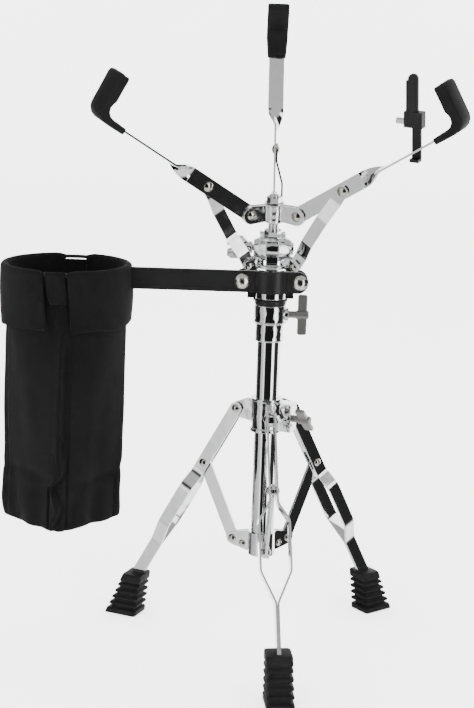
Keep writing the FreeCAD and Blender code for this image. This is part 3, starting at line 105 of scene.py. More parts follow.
def set_stops(elements, stops):
    """Give a colour ramp its stops, as (position, colour) from the first to the last."""
    for element, (position, colour) in ((elements[0], stops[0]), (elements[1], stops[-1])):
        element.position = position
        element.color = colour
    for position, colour in stops[1:-1]:
        elements.new(position).color = colour


class Graph:
    """A material's or world's node tree, with one method that makes any node."""

    def __init__(self, tree):
        self.tree = tree
        tree.nodes.clear()

    def node(self, kind, settings=None, inputs=None):
        """A node of a kind: its settings first, then the values or links of its sockets."""
        node = self.tree.nodes.new(kind)
        for name, setting in (settings or {}).items():
            if name == "stops":
                set_stops(node.color_ramp.elements, setting)
            else:
                setattr(node, name, setting)
        for name, item in (inputs or {}).items():
            plug(self.tree, item, node.inputs[name])
        return node

    def out(self, node, name=0):
        return Value(self.tree, node.outputs[name])

    def coordinates(self, kind="Object"):
        return self.out(self.node("ShaderNodeTexCoord"), kind)

    def noise(self, where, scale, detail=3.0, roughness=0.5):
        node = self.node("ShaderNodeTexNoise", None,
                         {"Vector": where, "Scale": scale, "Detail": detail, "Roughness": roughness})
        return self.out(node, "Fac")

    def ramp(self, value, low, high, start, end):
        """The value taken from start..end to low..high."""
        node = self.node("ShaderNodeMapRange", None, {"Value": value, "From Min": start, "From Max": end,
                                                      "To Min": low, "To Max": high})
        return self.out(node, "Result")

    def blend(self, factor, first, second):
        """The first colour at factor 0 and the second at factor 1."""
        node = self.node("ShaderNodeMix", {"data_type": "RGBA"},
                         {"Factor": factor, FIRST_COLOUR: first, SECOND_COLOUR: second})
        return self.out(node, MIXED_COLOUR)

    def bump(self, height, distance, strength, normal=None):
        """A normal raised by a height, over another normal if one is given."""
        inputs = {"Height": height, "Distance": distance, "Strength": strength}
        if normal is not None:
            inputs["Normal"] = normal
        return self.out(self.node("ShaderNodeBump", None, inputs), "Normal")

    def rounded(self, radius):
        """A normal that rounds sharp edges off."""
        return self.out(self.node("ShaderNodeBevel", {"samples": 4}, {"Radius": radius}), "Normal")

    def surface(self, **inputs):
        """The material's shader, with its sockets' names written with underscores."""
        named = {name.replace("_", " "): item for name, item in inputs.items()}
        shader = self.node("ShaderNodeBsdfPrincipled", None, named)
        self.node("ShaderNodeOutputMaterial", None, {"Surface": self.out(shader)})


def material(name):
    made = bpy.data.materials.new(name)
    made.use_nodes = True
    return made, Graph(made.node_tree)


NEUTRAL = (1.0, 1.0, 1.0)
COOL_BLACK = (1.0, 1.0, 1.02)
COOL_PLATE = (0.985, 0.99, 1.0)


def grey(level, tint=NEUTRAL):
    return (level * tint[0], level * tint[1], level * tint[2], 1.0)


# ---- materials -------------------------------------------------------------------------------------------

def chrome(name, level, roughness, ripple, ripple_scale, edge=0.0004, tint=COOL_PLATE):
    """Plated steel: a mirror with faint rolling marks, finger haze and rounded edges."""
    made, graph = material(name)
    where = graph.coordinates()
    haze = graph.noise(where, scale=38.0, detail=4.0, roughness=0.6)
    specks = graph.noise(where, scale=900.0, detail=2.0)
    hazed = graph.ramp(haze, low=0.0, high=1.0, start=0.35, end=0.75)
    colour = graph.blend(hazed, grey(level, tint), grey(level * 0.9, tint))
    rough = (graph.ramp(haze, low=roughness, high=roughness + 0.05, start=0.4, end=0.85)
             + graph.ramp(specks, low=0.0, high=0.05, start=0.7, end=0.95))
    waves = graph.noise(where, scale=ripple_scale, detail=1.0, roughness=0.4)
    normal = graph.bump(waves, distance=ripple, strength=1.0, normal=graph.rounded(edge))
    graph.surface(Base_Color=colour, Metallic=1.0, Roughness=rough, Normal=normal)
    return made


def moulded(name, level, roughness, grain, grain_scale, edge=0.0006, shine=0.3):
    """Black rubber, nylon or paint: a dark body with its own grain and dusty high places."""
    made, graph = material(name)
    where = graph.coordinates()
    cloud = graph.noise(where, scale=22.0, detail=5.0, roughness=0.6)
    fine = graph.noise(where, scale=grain_scale, detail=3.0, roughness=0.55)
    dusted = graph.ramp(cloud, low=0.0, high=1.0, start=0.3, end=0.8)
    colour = graph.blend(dusted, grey(level, COOL_BLACK), grey(level * 1.7, COOL_BLACK))
    rough = graph.ramp(cloud, low=roughness - 0.06, high=roughness + 0.08, start=0.25, end=0.8)
    normal = graph.bump(fine, distance=grain, strength=1.0, normal=graph.rounded(edge))
    graph.surface(Base_Color=colour, Roughness=rough, Normal=normal, Specular_IOR_Level=shine)
    return made


THREAD = 0.0011


def cloth(name, level):
    """Black plain-weave bag cloth; the threads follow the piece's own UVs, which are in metres."""
    made, graph = material(name)
    split = graph.node("ShaderNodeSeparateXYZ", None, {"Vector": graph.coordinates("UV")})
    across = graph.out(split, "X") * (math.pi / THREAD)
    along = graph.out(split, "Y") * (math.pi / THREAD)
    warp = across.maths("SINE").maths("ABSOLUTE")
    weft = along.maths("SINE").maths("ABSOLUTE")
    over = (across * 0.5).maths("SINE") * (along * 0.5).maths("SINE")
    pick = graph.ramp(over, low=0.0, high=1.0, start=-0.15, end=0.15)
    weave = warp * pick + weft * (1.0 - pick)
    where = graph.coordinates()
    cloud = graph.noise(where, scale=16.0, detail=6.0, roughness=0.65)
    lint = graph.noise(where, scale=420.0, detail=2.0, roughness=0.7)
    faded = graph.ramp(cloud, low=0.0, high=1.0, start=0.3, end=0.75)
    base = graph.blend(faded, grey(level), grey(level * 1.8, (1.0, 1.0, 1.03)))
    linted = graph.ramp(lint, low=0.0, high=0.35, start=0.66, end=0.85)
    colour = graph.blend(linted, base, grey(level * 5.0))
    crumple = graph.noise(where, scale=60.0, detail=3.0, roughness=0.6)
    bent = graph.bump(crumple, distance=0.0012, strength=0.5)
    normal = graph.bump(weave, distance=0.00025, strength=0.8, normal=bent)
    rough = graph.ramp(cloud, low=0.84, high=0.95, start=0.3, end=0.75)
    graph.surface(Base_Color=colour, Roughness=rough, Normal=normal, Specular_IOR_Level=0.05,
                  Sheen_Weight=0.015, Sheen_Roughness=0.6)
    return made


FINISH = {
    "tube_chrome": chrome("tube_chrome", level=0.9, roughness=0.03, ripple=0.00002, ripple_scale=30.0),
    "strip_chrome": chrome("strip_chrome", level=0.84, roughness=0.06, ripple=0.0003, ripple_scale=60.0),
    "cast_chrome": chrome("cast_chrome", level=0.8, roughness=0.07, ripple=0.0009, ripple_scale=110.0,
                          edge=0.0012),
    "rivet_steel": chrome("rivet_steel", level=0.6, roughness=0.16, ripple=0.0006, ripple_scale=240.0,
                          edge=0.0005, tint=(1.0, 0.95, 0.88)),
    "bolt_steel": chrome("bolt_steel", level=0.78, roughness=0.2, ripple=0.0006, ripple_scale=160.0,
                         edge=0.0005, tint=(1.0, 0.97, 0.93)),
    "black_steel": moulded("black_steel", level=0.004, roughness=0.36, grain=0.00004, grain_scale=700.0,
                           edge=0.0004, shine=0.25),
    "foot_rubber": moulded("foot_rubber", level=0.0035, roughness=0.6, grain=0.0001, grain_scale=500.0,
                           shine=0.14),
    "rest_rubber": moulded("rest_rubber", level=0.003, roughness=0.64, grain=0.00008, grain_scale=600.0,
                           edge=0.0009, shine=0.12),
    "liner_rubber": moulded("liner_rubber", level=0.007, roughness=0.7, grain=0.0001, grain_scale=500.0),
    "black_nylon": moulded("black_nylon", level=0.004, roughness=0.42, grain=0.00005, grain_scale=600.0,
                           shine=0.2),
    "clip_plastic": moulded("clip_plastic", level=0.004, roughness=0.42, grain=0.00006, grain_scale=600.0,
                            shine=0.2),
    "bag_fabric": cloth("bag_fabric", level=0.0016),
}
nickel = chrome("nickel", level=0.36, roughness=0.5, ripple=0.0003, ripple_scale=90.0, edge=0.0008,
                tint=(1.0, 0.985, 0.96))

# Every piece takes its slot's finish; the two wing bolts are duller than the rest of their slot.
slot_of = {entry["node"]: entry["material_slot"] for entry in frame["record"]["subparts"]}
for name, node in frame["nodes"].items():
    for slot in node.material_slots:
        slot.material = nickel if name.endswith("wing_bolt") else FINISH[slot_of[name]]


# ---- mesh helpers ----------------------------------------------------------------------------------------

def piece(name, points, faces, finish, uvs=None):
    """A smooth mesh object from points in metres; uvs is one (u, v) for each point."""
    mesh = bpy.data.meshes.new(name)
    mesh.from_pydata([tuple(point) for point in points], [], faces)
    mesh.polygons.foreach_set("use_smooth", [True] * len(mesh.polygons))
    if uvs is not None:
        layer = mesh.uv_layers.new(name="UVMap")
        for loop in mesh.loops:
            layer.data[loop.index].uv = uvs[loop.vertex_index]
    mesh.materials.append(finish)
    mesh.update()
    made = bpy.data.objects.new(name, mesh)
    bpy.context.scene.collection.objects.link(made)
    return made


def grid_faces(rows, columns, closed):
    """Faces between rows of points; closed joins each row's last point to its first."""
    faces = []
    for row in range(rows - 1):
        for column in range(columns if closed else columns - 1):
            following = (column + 1) % columns
            faces.append((row * columns + column, row * columns + following,
                          (row + 1) * columns + following, (row + 1) * columns + column))
    return faces


def first_cap(columns):
    """A face over a grid's first ring."""
    return tuple(reversed(range(columns)))


def last_cap(columns, total):
    """A face over a grid's last ring; total is its number of points."""
    return tuple(range(total - columns, total))


def modify(made, kind, **settings):
    modifier = made.modifiers.new(kind.title(), kind)
    for name, setting in settings.items():
        setattr(modifier, name, setting)


def finish_piece(made, body, slot, *replaced):
    """Put a piece on its body, in place of the plain nodes that it replaces; the slot argument is not used."""
    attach(made, body)
    if replaced:
        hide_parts(*replaced)


def joint(name):
    return next(entry for entry in frame["joints"] if entry["name"] == name)


def bell(value, width):
    """1 at zero, falling away on both sides over the width."""
    return math.exp(-(value / width) ** 2)


def smooth(value):
    """A soft step from 0 to 1 as the value goes from 0 to 1."""
    value = max(0.0, min(1.0, value))
    return value * value * (3 - 2 * value)


def around(turn, radius, level):
    """The point at an angle round an upright axis, at a radius and a level."""
    return Vector((math.cos(turn) * radius, math.sin(turn) * radius, level))


# ---- rubber feet -----------------------------------------------------------------------------------------

BOOT_CORNER = 0.003
BOOT_CORNER_STEPS = 5
BOOT_END = 0.001
RIBS = 4
SOLE_TOP = 0.13
RIBS_TOP = 0.76


def boot_stations():
    """(share of the boot's height, swell) up its side: a sole, ribs with grooves below them, a collar."""
    pitch = (RIBS_TOP - SOLE_TOP) / RIBS
    stations = [(0.0, 0.985), (0.012, 1.0), (SOLE_TOP - 0.02, 1.0), (SOLE_TOP, 0.98)]
    for rib in range(RIBS):
        start = SOLE_TOP + pitch * rib
        stations += [(start + 0.012, 0.80), (start + pitch * 0.52, 0.79), (start + pitch * 0.6, 0.96),
                     (start + pitch * 0.66, 1.0), (start + pitch * 0.88, 1.0), (start + pitch * 0.96, 0.97)]
    return stations + [(0.775, 0.84), (0.80, 0.84), (0.815, 0.97), (0.83, 1.0), (0.975, 1.0), (1.0, 0.96)]


def rounded_rectangle(length, width, corner):
    """Points round a rectangle, starting at its +x +y corner."""
    points = []
    for quarter, (sx, sy) in enumerate(((1, 1), (-1, 1), (-1, -1), (1, -1))):
        for step in range(BOOT_CORNER_STEPS + 1):
            turn = math.radians(90 * quarter + 90 * step / BOOT_CORNER_STEPS)
            points.append((sx * (length / 2 - corner) + corner * math.cos(turn),
                           sy * (width / 2 - corner) + corner * math.sin(turn)))
    return points


def build_foot(name):
    """A boot of stacked ribs, wider towards the floor, round the leg's lower end."""
    low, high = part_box("%s_foot" % name)
    top_pivot = Vector(joint("leg_%s_fold" % name)["pos_m"])
    out = Vector((top_pivot.x, top_pivot.y, 0.0)).normalized()
    side = Vector((0.0, 0.0, 1.0)).cross(out)
    corners = [vertex.co for vertex in frame["nodes"]["%s_foot" % name].data.vertices]
    floor = [co for co in corners if co.z < low.z + BOOT_END]
    crown = [co for co in corners if co.z > high.z - BOOT_END]
    spans = []
    for ring in (floor, crown):
        along = [co.dot(out) for co in ring]
        across = [co.dot(side) for co in ring]
        spans.append((min(along), max(along), min(across), max(across)))
    height = high.z - low.z
    stations = boot_stations()
    points = []
    for share, swell in stations:
        near, far, left, right = [a + (b - a) * share for a, b in zip(spans[0], spans[1])]
        level = Vector((0.0, 0.0, low.z + height * share))
        middle = out * ((near + far) / 2) + side * ((left + right) / 2) + level
        for x, y in rounded_rectangle((far - near) * swell, (right - left) * swell, BOOT_CORNER):
            points.append(middle + out * x + side * y)
    columns = len(points) // len(stations)
    faces = grid_faces(len(stations), columns, True)
    faces.append(first_cap(columns))
    faces.append(last_cap(columns, len(points)))
    made = piece("%s_boot" % name, points, faces, FINISH["foot_rubber"])
    modify(made, "BEVEL", width=0.0004, segments=2, angle_limit=math.radians(40))
    finish_piece(made, "leg_%s" % name, "foot_rubber", "%s_foot" % name)


for leg in ("front", "left", "right"):
    build_foot(leg)


# ---- rubber drum rests -----------------------------------------------------------------------------------

# The rest's outline in millimetres: along the arm from its pivot, and up from the arm.
REST_OUTLINE = [
    (188.5, -3.2), (190.0, -3.9), (205.0, -4.2), (215.0, -3.9), (220.5, -2.2), (224.5, 1.4),
    (226.6, 6.0), (227.2, 12.0), (228.6, 30.0), (229.6, 40.5), (228.6, 43.6), (225.0, 45.0),
    (221.0, 44.0), (217.4, 44.6), (216.2, 42.0), (215.6, 30.0), (214.6, 19.5), (216.2, 15.5),
    (216.6, 11.5), (215.0, 7.6), (211.6, 4.6), (206.0, 3.3), (198.0, 3.0), (190.0, 2.6), (188.5, 2.0)]
REST_HALF_WIDTH = 12.0
SLEEVE_END = 206.0
SLEEVE_WIDTH = 0.86

# Across the rest in millimetres: how far from its middle, and how far its outline is drawn in there.
REST_LAYERS = [
    (-REST_HALF_WIDTH, 1.6), (-REST_HALF_WIDTH + 0.5, 0.6), (-REST_HALF_WIDTH + 1.8, 0.0),
    (REST_HALF_WIDTH - 1.8, 0.0), (REST_HALF_WIDTH - 0.5, 0.6), (REST_HALF_WIDTH, 1.6)]


def arm_axes(name):
    """The arm's frame: its root, the direction along it, its pivot's direction and the way up from it."""
    fold = joint("arm_%s_fold" % name)
    root = Vector(fold["pos_m"])
    side = Vector(fold["axis"])
    low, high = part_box("%s_arm_rivet" % name)
    rivet = (low + high) / 2
    along = rivet - root
    along -= side * along.dot(side)
    along.normalize()
    return root, along, side, along.cross(side)


def build_rest(name):
    """A hook: a sleeve on the arm, a round notch for the drum's hoop and an upright pad with a raised rim."""
    root, along, side, up = arm_axes(name)
    total = len(REST_OUTLINE)
    points = []
    for depth, shrink in REST_LAYERS:
        for index, (reach, rise) in enumerate(REST_OUTLINE):
            before = Vector(REST_OUTLINE[index - 1])
            after = Vector(REST_OUTLINE[(index + 1) % total])
            tangent = (after - before).normalized()
            inward = Vector((-tangent.y, tangent.x))
            wide = 1.0 if reach > SLEEVE_END else SLEEVE_WIDTH
            spot = Vector((reach, rise)) + inward * shrink
            points.append(root + along * spot.x * MM + up * spot.y * MM + side * depth * wide * MM)
    faces = grid_faces(len(REST_LAYERS), total, True)
    faces.append(first_cap(total))
    faces.append(last_cap(total, len(points)))
    made = piece("%s_rest_rubber" % name, points, faces, FINISH["rest_rubber"])
    modify(made, "BEVEL", width=0.0008, segments=2, angle_limit=math.radians(35))
    finish_piece(made, "arm_%s" % name, "rest_rubber", "%s_drum_rest" % name)


for arm in ("left", "right", "back"):
    build_rest(arm)


# ---- threaded rod ----------------------------------------------------------------------------------------

ROD_RADIUS = 0.0055
THREAD_PITCH = 0.0015
THREAD_DEPTH = 0.0006
ROWS_PER_THREAD = 6
ROD_POINT = 0.0012
ROD_POINT_SHARE = 0.8


def build_rod():
    """The basket's rod with a screw thread cut all along it and a blunt point on top."""
    axis = Vector(joint("arm_slide")["axis"]).normalized()
    origin = Vector(joint("basket_tilt")["pos_m"])
    heights = [(vertex.co - origin).dot(axis) for vertex in frame["nodes"]["basket_rod"].data.vertices]
    low, high = min(heights), max(heights)
    across = Vector((1.0, 0.0, 0.0))
    other = axis.cross(across)
    columns = 32
    rows = int((high - low) / THREAD_PITCH * ROWS_PER_THREAD)
    points = []
    for row in range(rows + 1):
        height = low + (high - low) * row / rows
        end = min(1.0, (high - height) / ROD_POINT)
        for column in range(columns):
            turn = 2 * math.pi * column / columns
            phase = (height / THREAD_PITCH - column / columns) % 1.0
            depth = THREAD_DEPTH * abs(2 * phase - 1)
            reach = (ROD_RADIUS - depth) * (ROD_POINT_SHARE + (1 - ROD_POINT_SHARE) * end)
            points.append(origin + axis * height + (across * math.cos(turn) + other * math.sin(turn)) * reach)
    faces = grid_faces(rows + 1, columns, True)
    faces.append(last_cap(columns, len(points)))
    made = piece("threaded_rod", points, faces, FINISH["cast_chrome"])
    finish_piece(made, "basket", "tube_chrome", "basket_rod")


build_rod()


# ---- stick bag -------------------------------------------------------------------------------------------

hoop_low, hoop_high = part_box("bag_hoop")
bag_low, bag_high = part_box("stick_bag")
BAG_CENTRE = Vector(((hoop_low.x + hoop_high.x) / 2, (hoop_low.y + hoop_high.y) / 2, 0.0))
HOOP_LEVEL = (hoop_low.z + hoop_high.z) / 2
HOOP_WIRE = 0.002
HOOP_RADIUS = (hoop_high.x - hoop_low.x) / 2 - HOOP_WIRE

# The bag is a square with rounded corners at its foot and round at its mouth. Lengths are in metres.
CORNER = math.radians(-88)
FOOT_SIDE = 0.097
SIDE_GAIN = 0.003
FOOT_CORNER = 0.009
MOUTH_RADIUS = 0.0642
MOUTH_SHARE = 0.86
MOUTH_SQUARENESS = 0.2

# The front crease: a ridge with a furrow beside it. Widths and the furrow's place are in radians.
RIDGE, RIDGE_WIDTH = 0.003, 0.04
FURROW, FURROW_WIDTH, FURROW_TURN = 0.0036, 0.045, 0.08
CREASE_PATH = [(0.0, -0.16), (0.028, -0.01), (0.052, -0.12), (0.068, 0.035), (0.095, -0.01), (0.3, 0.0)]

# Slack in the cloth: swells all over, folds near the foot, and one sagging fold round it.
SWELL = 0.0016
FOLD, FOLDS_TOP = 0.006, 0.11
SAG, SAG_HEIGHT, SAG_WIDTH, SAG_WANDER = 0.0034, 0.058, 0.006, 0.006
BAG_SWING = 0.0035


def square_radius(turn, side, corner):
    """The radius, at an angle from a corner, of a rounded square of that side."""
    turn = (turn + math.pi / 4) % (math.pi / 2) - math.pi / 4
    flat = side / 2 / math.cos(math.pi / 4 - abs(turn))
    tip = (side / 2 - corner) * math.sqrt(2)
    lateral = tip * math.sin(turn)
    if abs(lateral) < corner:
        arc = tip * math.cos(turn) + math.sqrt(corner * corner - lateral * lateral)
        return min(flat, arc)
    return flat


def crease_turn(height):
    """How far the front crease wanders from the corner, in radians, at a height above the bag's foot."""
    for (low, first), (high, second) in zip(CREASE_PATH, CREASE_PATH[1:]):
        if height <= high:
            return first + (second - first) * smooth((height - low) / (high - low))
    return 0.0


def squareness_at(share):
    """How square the bag is at a share of its height: fully at its foot, not at all at its mouth."""
    if share < MOUTH_SHARE:
        return 1.0 - smooth((share - 0.05) / 0.9) * (1.0 - MOUTH_SQUARENESS)
    return MOUTH_SQUARENESS * (1 - smooth((share - MOUTH_SHARE) / 0.1))


def body_radius(turn, level):
    """Radius of the hanging bag at an angle and level, with its corners, creases and slack."""
    height = level - bag_low.z
    share = height / (bag_high.z - bag_low.z)
    from_corner = (turn - CORNER + math.pi) % (2 * math.pi) - math.pi
    side = FOOT_SIDE + SIDE_GAIN * smooth(share * 1.6)
    squareness = squareness_at(share)
    radius = square_radius(from_corner, side, FOOT_CORNER) * squareness + MOUTH_RADIUS * (1 - squareness)
    below_cuff = 1.0 - smooth((share - 0.68) / 0.1)
    wander = from_corner - crease_turn(height)
    crease = bell(wander, RIDGE_WIDTH) * RIDGE - bell(wander - FURROW_TURN, FURROW_WIDTH) * FURROW
    radius += crease * below_cuff
    radius += noise.noise(around(turn, 1.3, level * 9.0) * 1.7) * SWELL * below_cuff
    folds = noise.noise(around(turn, 2.2, level * 26.0 + math.sin(turn * 2) * 0.7))
    radius += folds * FOLD * (1.0 - smooth(height / FOLDS_TOP))
    sag = bell(height - SAG_HEIGHT - SAG_WANDER * math.sin(turn * 2.0), SAG_WIDTH)
    radius -= sag * SAG * (0.5 + 0.5 * noise.noise(around(turn, 2, 3.3)))
    return radius


def hang(point):
    """A point of the bag about its own axis, put in place; the foot swings a little away from the stand."""
    straight = HOOP_LEVEL - 0.05
    drop = smooth((straight - point.z) / (straight - bag_low.z))
    return BAG_CENTRE + point + Vector((-BAG_SWING * drop, 0.0, 0.0))


def build_bag_body():
    """The bag's wall from its foot to the hoop, with a sagging bottom panel."""
    columns = 200
    rows = 96
    cloth_radius = 0.064
    foot = bag_low.z + 0.004
    top = HOOP_LEVEL - 0.0025
    panel_rings = [(0.02, 0.0018), (0.4, 0.0012), (0.75, 0.0006), (0.92, 0.0006), (0.985, 0.0022)]
    points = []
    uvs = []
    for share, rise in panel_rings:
        for column in range(columns):
            turn = 2 * math.pi * column / columns
            radius = body_radius(turn, foot) * share
            sag = noise.noise(around(turn, share * 2, 1.0)) * 0.0012
            points.append(hang(around(turn, radius, bag_low.z + rise + abs(sag))))
            uvs.append((math.cos(turn) * radius, math.sin(turn) * radius))
    for row in range(rows + 1):
        level = foot + (top - foot) * row / rows
        for column in range(columns):
            turn = 2 * math.pi * column / columns
            points.append(hang(around(turn, body_radius(turn, level), level)))
            uvs.append((cloth_radius * 2 * math.pi * column / columns, level))
    faces = grid_faces(len(panel_rings) + rows + 1, columns, True)
    faces.append(first_cap(columns))
    made = piece("bag_body", points, faces, FINISH["bag_fabric"], uvs)
    modify(made, "SOLIDIFY", thickness=0.0011, offset=-1.0)
    finish_piece(made, "stick_holder", "bag_fabric", "stick_bag")


# The cuff's run: some rows inside the hoop, some over it, and the rest down outside to the hem.
CUFF_INSIDE_ROWS = 3
CUFF_FOLD_STEPS = 6
CUFF_OUTSIDE_ROWS = 22
CUFF_INNER_GAP = 0.0034
CUFF_OUTER_GAP = 0.0036
CUFF_LEAN = 0.0675
NOTCH_HALF = 0.012 / HOOP_RADIUS
FRONT_NOTCH = FRONT - 0.06
BACK_NOTCH = BACK - 0.05


def cuff_outline(turn, hem_level):
    """The cuff's path in (radius, level): up inside the hoop, over it and down outside to the hem."""
    inner = HOOP_RADIUS - CUFF_INNER_GAP
    path = [(inner - 0.0006, HOOP_LEVEL - 0.028), (inner - 0.0003, HOOP_LEVEL - 0.016),
            (inner, HOOP_LEVEL - 0.004)]
    for step in range(CUFF_FOLD_STEPS + 1):
        angle = math.pi - math.pi * step / CUFF_FOLD_STEPS
        path.append((HOOP_RADIUS + CUFF_INNER_GAP * math.cos(angle),
                     HOOP_LEVEL + CUFF_OUTER_GAP * math.sin(angle)))
    for row in range(1, CUFF_OUTSIDE_ROWS + 1):
        share = row / CUFF_OUTSIDE_ROWS
        level = HOOP_LEVEL + (hem_level - HOOP_LEVEL) * share
        bulge = 0.0006 * math.sin(math.pi * share) + 0.0008 * share
        wave = noise.noise(around(turn, 2.1, share * 1.4)) * 0.0024 * share
        path.append((HOOP_RADIUS + CUFF_OUTER_GAP + bulge + wave, level))
    return path


def build_cuff(name, start, end, hem_start, hem_end):
    """One flap of the folded cuff, between two notches; its front edge leans back towards the hem."""
    columns = 84
    fold_top = CUFF_INSIDE_ROWS + CUFF_FOLD_STEPS // 2
    fold_end = CUFF_INSIDE_ROWS + CUFF_FOLD_STEPS
    rows = fold_end + 1 + CUFF_OUTSIDE_ROWS
    points = []
    uvs = []
    for column in range(columns + 1):
        share = column / columns
        turn = start + (end - start) * share
        hem = (hem_start + (hem_end - hem_start) * share
               + 0.0025 * noise.noise(Vector((share * 5, hem_start * 50, 0))))
        curl = bell(min(share, 1 - share) * columns, 2.2)
        from_front = share if name.endswith("right") else 1 - share
        for row, (radius, level) in enumerate(cuff_outline(turn, hem)):
            over = max(0.0, (row - fold_end) / (rows - 1 - fold_end))
            lift = curl * 0.0012 * over
            place = turn + CUFF_LEAN * over * math.exp(-(from_front / 0.12))
            points.append(BAG_CENTRE + around(place, radius + lift, level - curl * 0.002 * (1 - over)))
            uvs.append((0.07 * turn, level if row > fold_top else 2 * HOOP_LEVEL - level))
    faces = []
    for column in range(columns):
        for row in range(rows - 1):
            base = column * rows + row
            faces.append((base, base + 1, base + 1 + rows, base + rows))
    made = piece(name, points, faces, FINISH["bag_fabric"], uvs)
    modify(made, "SOLIDIFY", thickness=0.0013, offset=0.0)
    finish_piece(made, "stick_holder", "bag_fabric")


def tab_width(drop):
    """The tab's share of its full width, at a share of its drop: straight, then rounded off at its end."""
    if drop < 0.8:
        return 1.0
    return math.sqrt(max(0.0, 1 - ((drop - 0.8) / 0.22) ** 2)) * 0.35 + 0.65


def build_tab():
    """The smooth loop inside the front notch: it goes over the hoop and down the front of the bag."""
    columns = 24
    fold_steps = 8
    drop_steps = 14
    half = 0.0105
    gap = 0.0030
    lowest = HOOP_LEVEL - 0.031
    path = []
    for step in range(fold_steps + 1):
        angle = math.pi * (1.0 - step / fold_steps)
        path.append((HOOP_RADIUS + gap * math.cos(angle), HOOP_LEVEL + gap * math.sin(angle)))
    for step in range(1, drop_steps + 1):
        path.append((HOOP_RADIUS + gap - 0.0012 * step / drop_steps,
                     HOOP_LEVEL + (lowest - HOOP_LEVEL) * step / drop_steps))
    points = []
    uvs = []
    for radius, level in path:
        drop = smooth((HOOP_LEVEL - level) / (HOOP_LEVEL - lowest))
        for column in range(columns + 1):
            share = 2 * column / columns - 1
            turn = FRONT_NOTCH + share * (half * tab_width(drop)) / HOOP_RADIUS + 0.05 * drop
            crown = 0.0012 * (1 - share * share)
            points.append(BAG_CENTRE + around(turn, radius + crown, level))
            uvs.append((HOOP_RADIUS * turn, level))
    made = piece("bag_tab", points, grid_faces(len(path), columns + 1, False), FINISH["bag_fabric"], uvs)
    modify(made, "SOLIDIFY", thickness=0.0012, offset=1.0)
    finish_piece(made, "stick_holder", "bag_fabric")


build_bag_body()
build_cuff("bag_cuff_left", BACK_NOTCH + NOTCH_HALF, 2 * math.pi + FRONT_NOTCH - NOTCH_HALF, 0.362, 0.362)
build_tab()
build_cuff("bag_cuff_right", FRONT_NOTCH + NOTCH_HALF, BACK_NOTCH - NOTCH_HALF, 0.359, 0.366)


# ---- studio ----------------------------------------------------------------------------------------------

def build_floor():
    """A seamless round sweep: a pale floor that curves up into a wall all round; mirrors don't see it."""
    reach, bend, top = 7.0, 2.5, 9.0
    columns = 96
    bend_steps = 12
    profile = [(0.02, 0.0), (1.0, 0.0), (3.0, 0.0), (reach, 0.0)]
    for step in range(1, bend_steps + 1):
        angle = math.radians(90 * step / bend_steps)
        profile.append((reach + bend * math.sin(angle), bend * (1 - math.cos(angle))))
    profile.append((reach + bend, top))
    points = [around(2 * math.pi * column / columns, radius, z)
              for radius, z in profile for column in range(columns)]
    faces = grid_faces(len(profile), columns, True)
    faces.append(first_cap(columns))
    made, graph = material("pale_sweep")
    cloud = graph.noise(graph.coordinates(), scale=2.0, detail=3.0)
    tone = graph.blend(cloud, grey(0.9), grey(0.93))
    graph.surface(Base_Color=tone, Roughness=0.8, Emission_Color=tone, Emission_Strength=2.2)
    sweep = piece("sweep", points, faces, made)
    sweep.visible_glossy = False


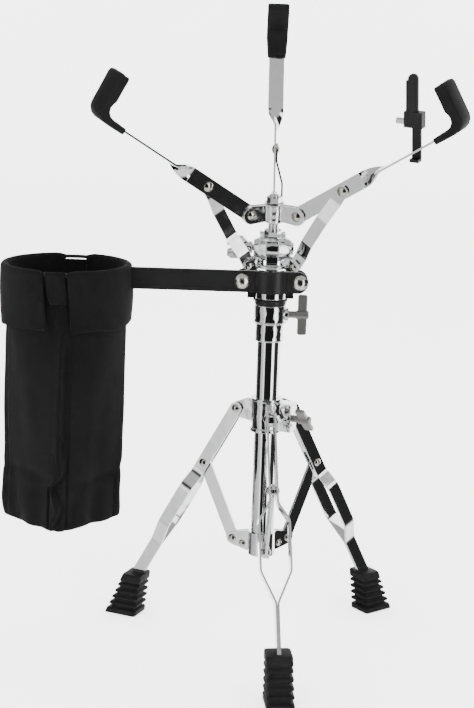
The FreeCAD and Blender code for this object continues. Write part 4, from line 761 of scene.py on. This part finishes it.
def build_world():
    """White cards and black flags all round, as bands by direction, for the chrome to show."""
    world = bpy.data.worlds.new("studio")
    bpy.context.scene.world = world
    world.use_nodes = True
    graph = Graph(world.node_tree)
    towards = graph.coordinates("Generated")
    split = graph.node("ShaderNodeSeparateXYZ", None, {"Vector": towards})
    sway = 26.0
    drift = graph.noise(towards, scale=2.2, detail=2.0, roughness=0.5) * sway - sway / 2
    turn = graph.out(split, "X").maths("ARCTAN2", graph.out(split, "Y") * -1.0) * (180 / math.pi) + drift
    height = graph.out(split, "Z")
    # Degrees round from the front, and how bright the studio is there.
    bands = [(-180, 1.0), (-146, 1.0), (-140, 0.02), (-108, 0.012), (-100, 0.16), (-62, 0.22), (-36, 0.5),
             (-30, 0.004), (31, 0.003), (36, 1.0), (54, 1.0), (59, 0.006), (110, 0.01), (117, 1.0), (180, 1.0)]
    stops = [((angle + 180) / 360, grey(level)) for angle, level in bands]
    ramp = graph.node("ShaderNodeValToRGB", {"stops": stops},
                      {"Fac": graph.ramp(turn, low=0.0, high=1.0, start=-180.0, end=180.0)})
    above = graph.ramp(height, low=0.0, high=1.0, start=0.42, end=0.6)
    below = graph.ramp(height, low=0.0, high=1.0, start=-0.5, end=-0.72)
    colour = graph.blend(above, graph.out(ramp, "Color"), grey(0.17))
    colour = graph.blend(below, colour, grey(0.35))
    back = graph.node("ShaderNodeBackground", None, {"Color": colour, "Strength": 4.0})
    graph.node("ShaderNodeOutputWorld", None, {"Surface": graph.out(back)})


def build_camera():
    """A long lens in front of the stand, a little above its middle, tipped down and slightly rolled."""
    data = bpy.data.cameras.new("camera")
    data.sensor_fit = "VERTICAL"
    data.sensor_height = 36.0
    data.lens = 74.6
    data.clip_end = 100.0
    camera = bpy.data.objects.new("camera", data)
    bpy.context.scene.collection.objects.link(camera)
    pitch = math.radians(12.33)
    roll = math.radians(1.84)
    distance = 1.5993
    target = Vector((-0.0342, 0.0, 0.3293))
    away = Vector((0.0, -math.cos(pitch), math.sin(pitch)))
    camera.matrix_world = (Matrix.Translation(target + away * distance)
                           @ Matrix.Rotation(math.pi / 2 - pitch, 4, "X") @ Matrix.Rotation(roll, 4, "Z"))
    bpy.context.scene.camera = camera


def add_light(name, place, target, size, power):
    """A soft rectangular lamp that mirrors don't see."""
    data = bpy.data.lights.new(name, "AREA")
    data.shape = "RECTANGLE"
    data.size, data.size_y = size
    data.energy = power
    lamp = bpy.data.objects.new(name, data)
    bpy.context.scene.collection.objects.link(lamp)
    lamp.location = place
    lamp.rotation_euler = (Vector(target) - Vector(place)).to_track_quat("-Z", "Y").to_euler()
    lamp.visible_glossy = False


build_floor()
build_world()
build_camera()
add_light("key", place=(-1.4, -1.8, 2.4), target=(-0.05, 0.0, 0.35), size=(1.6, 1.6), power=30.0)
add_light("fill", place=(1.8, -1.2, 1.6), target=(0.0, 0.0, 0.35), size=(1.4, 1.4), power=14.0)
add_light("top", place=(0.0, 0.6, 2.6), target=(0.0, 0.0, 0.3), size=(1.6, 1.2), power=25.0)
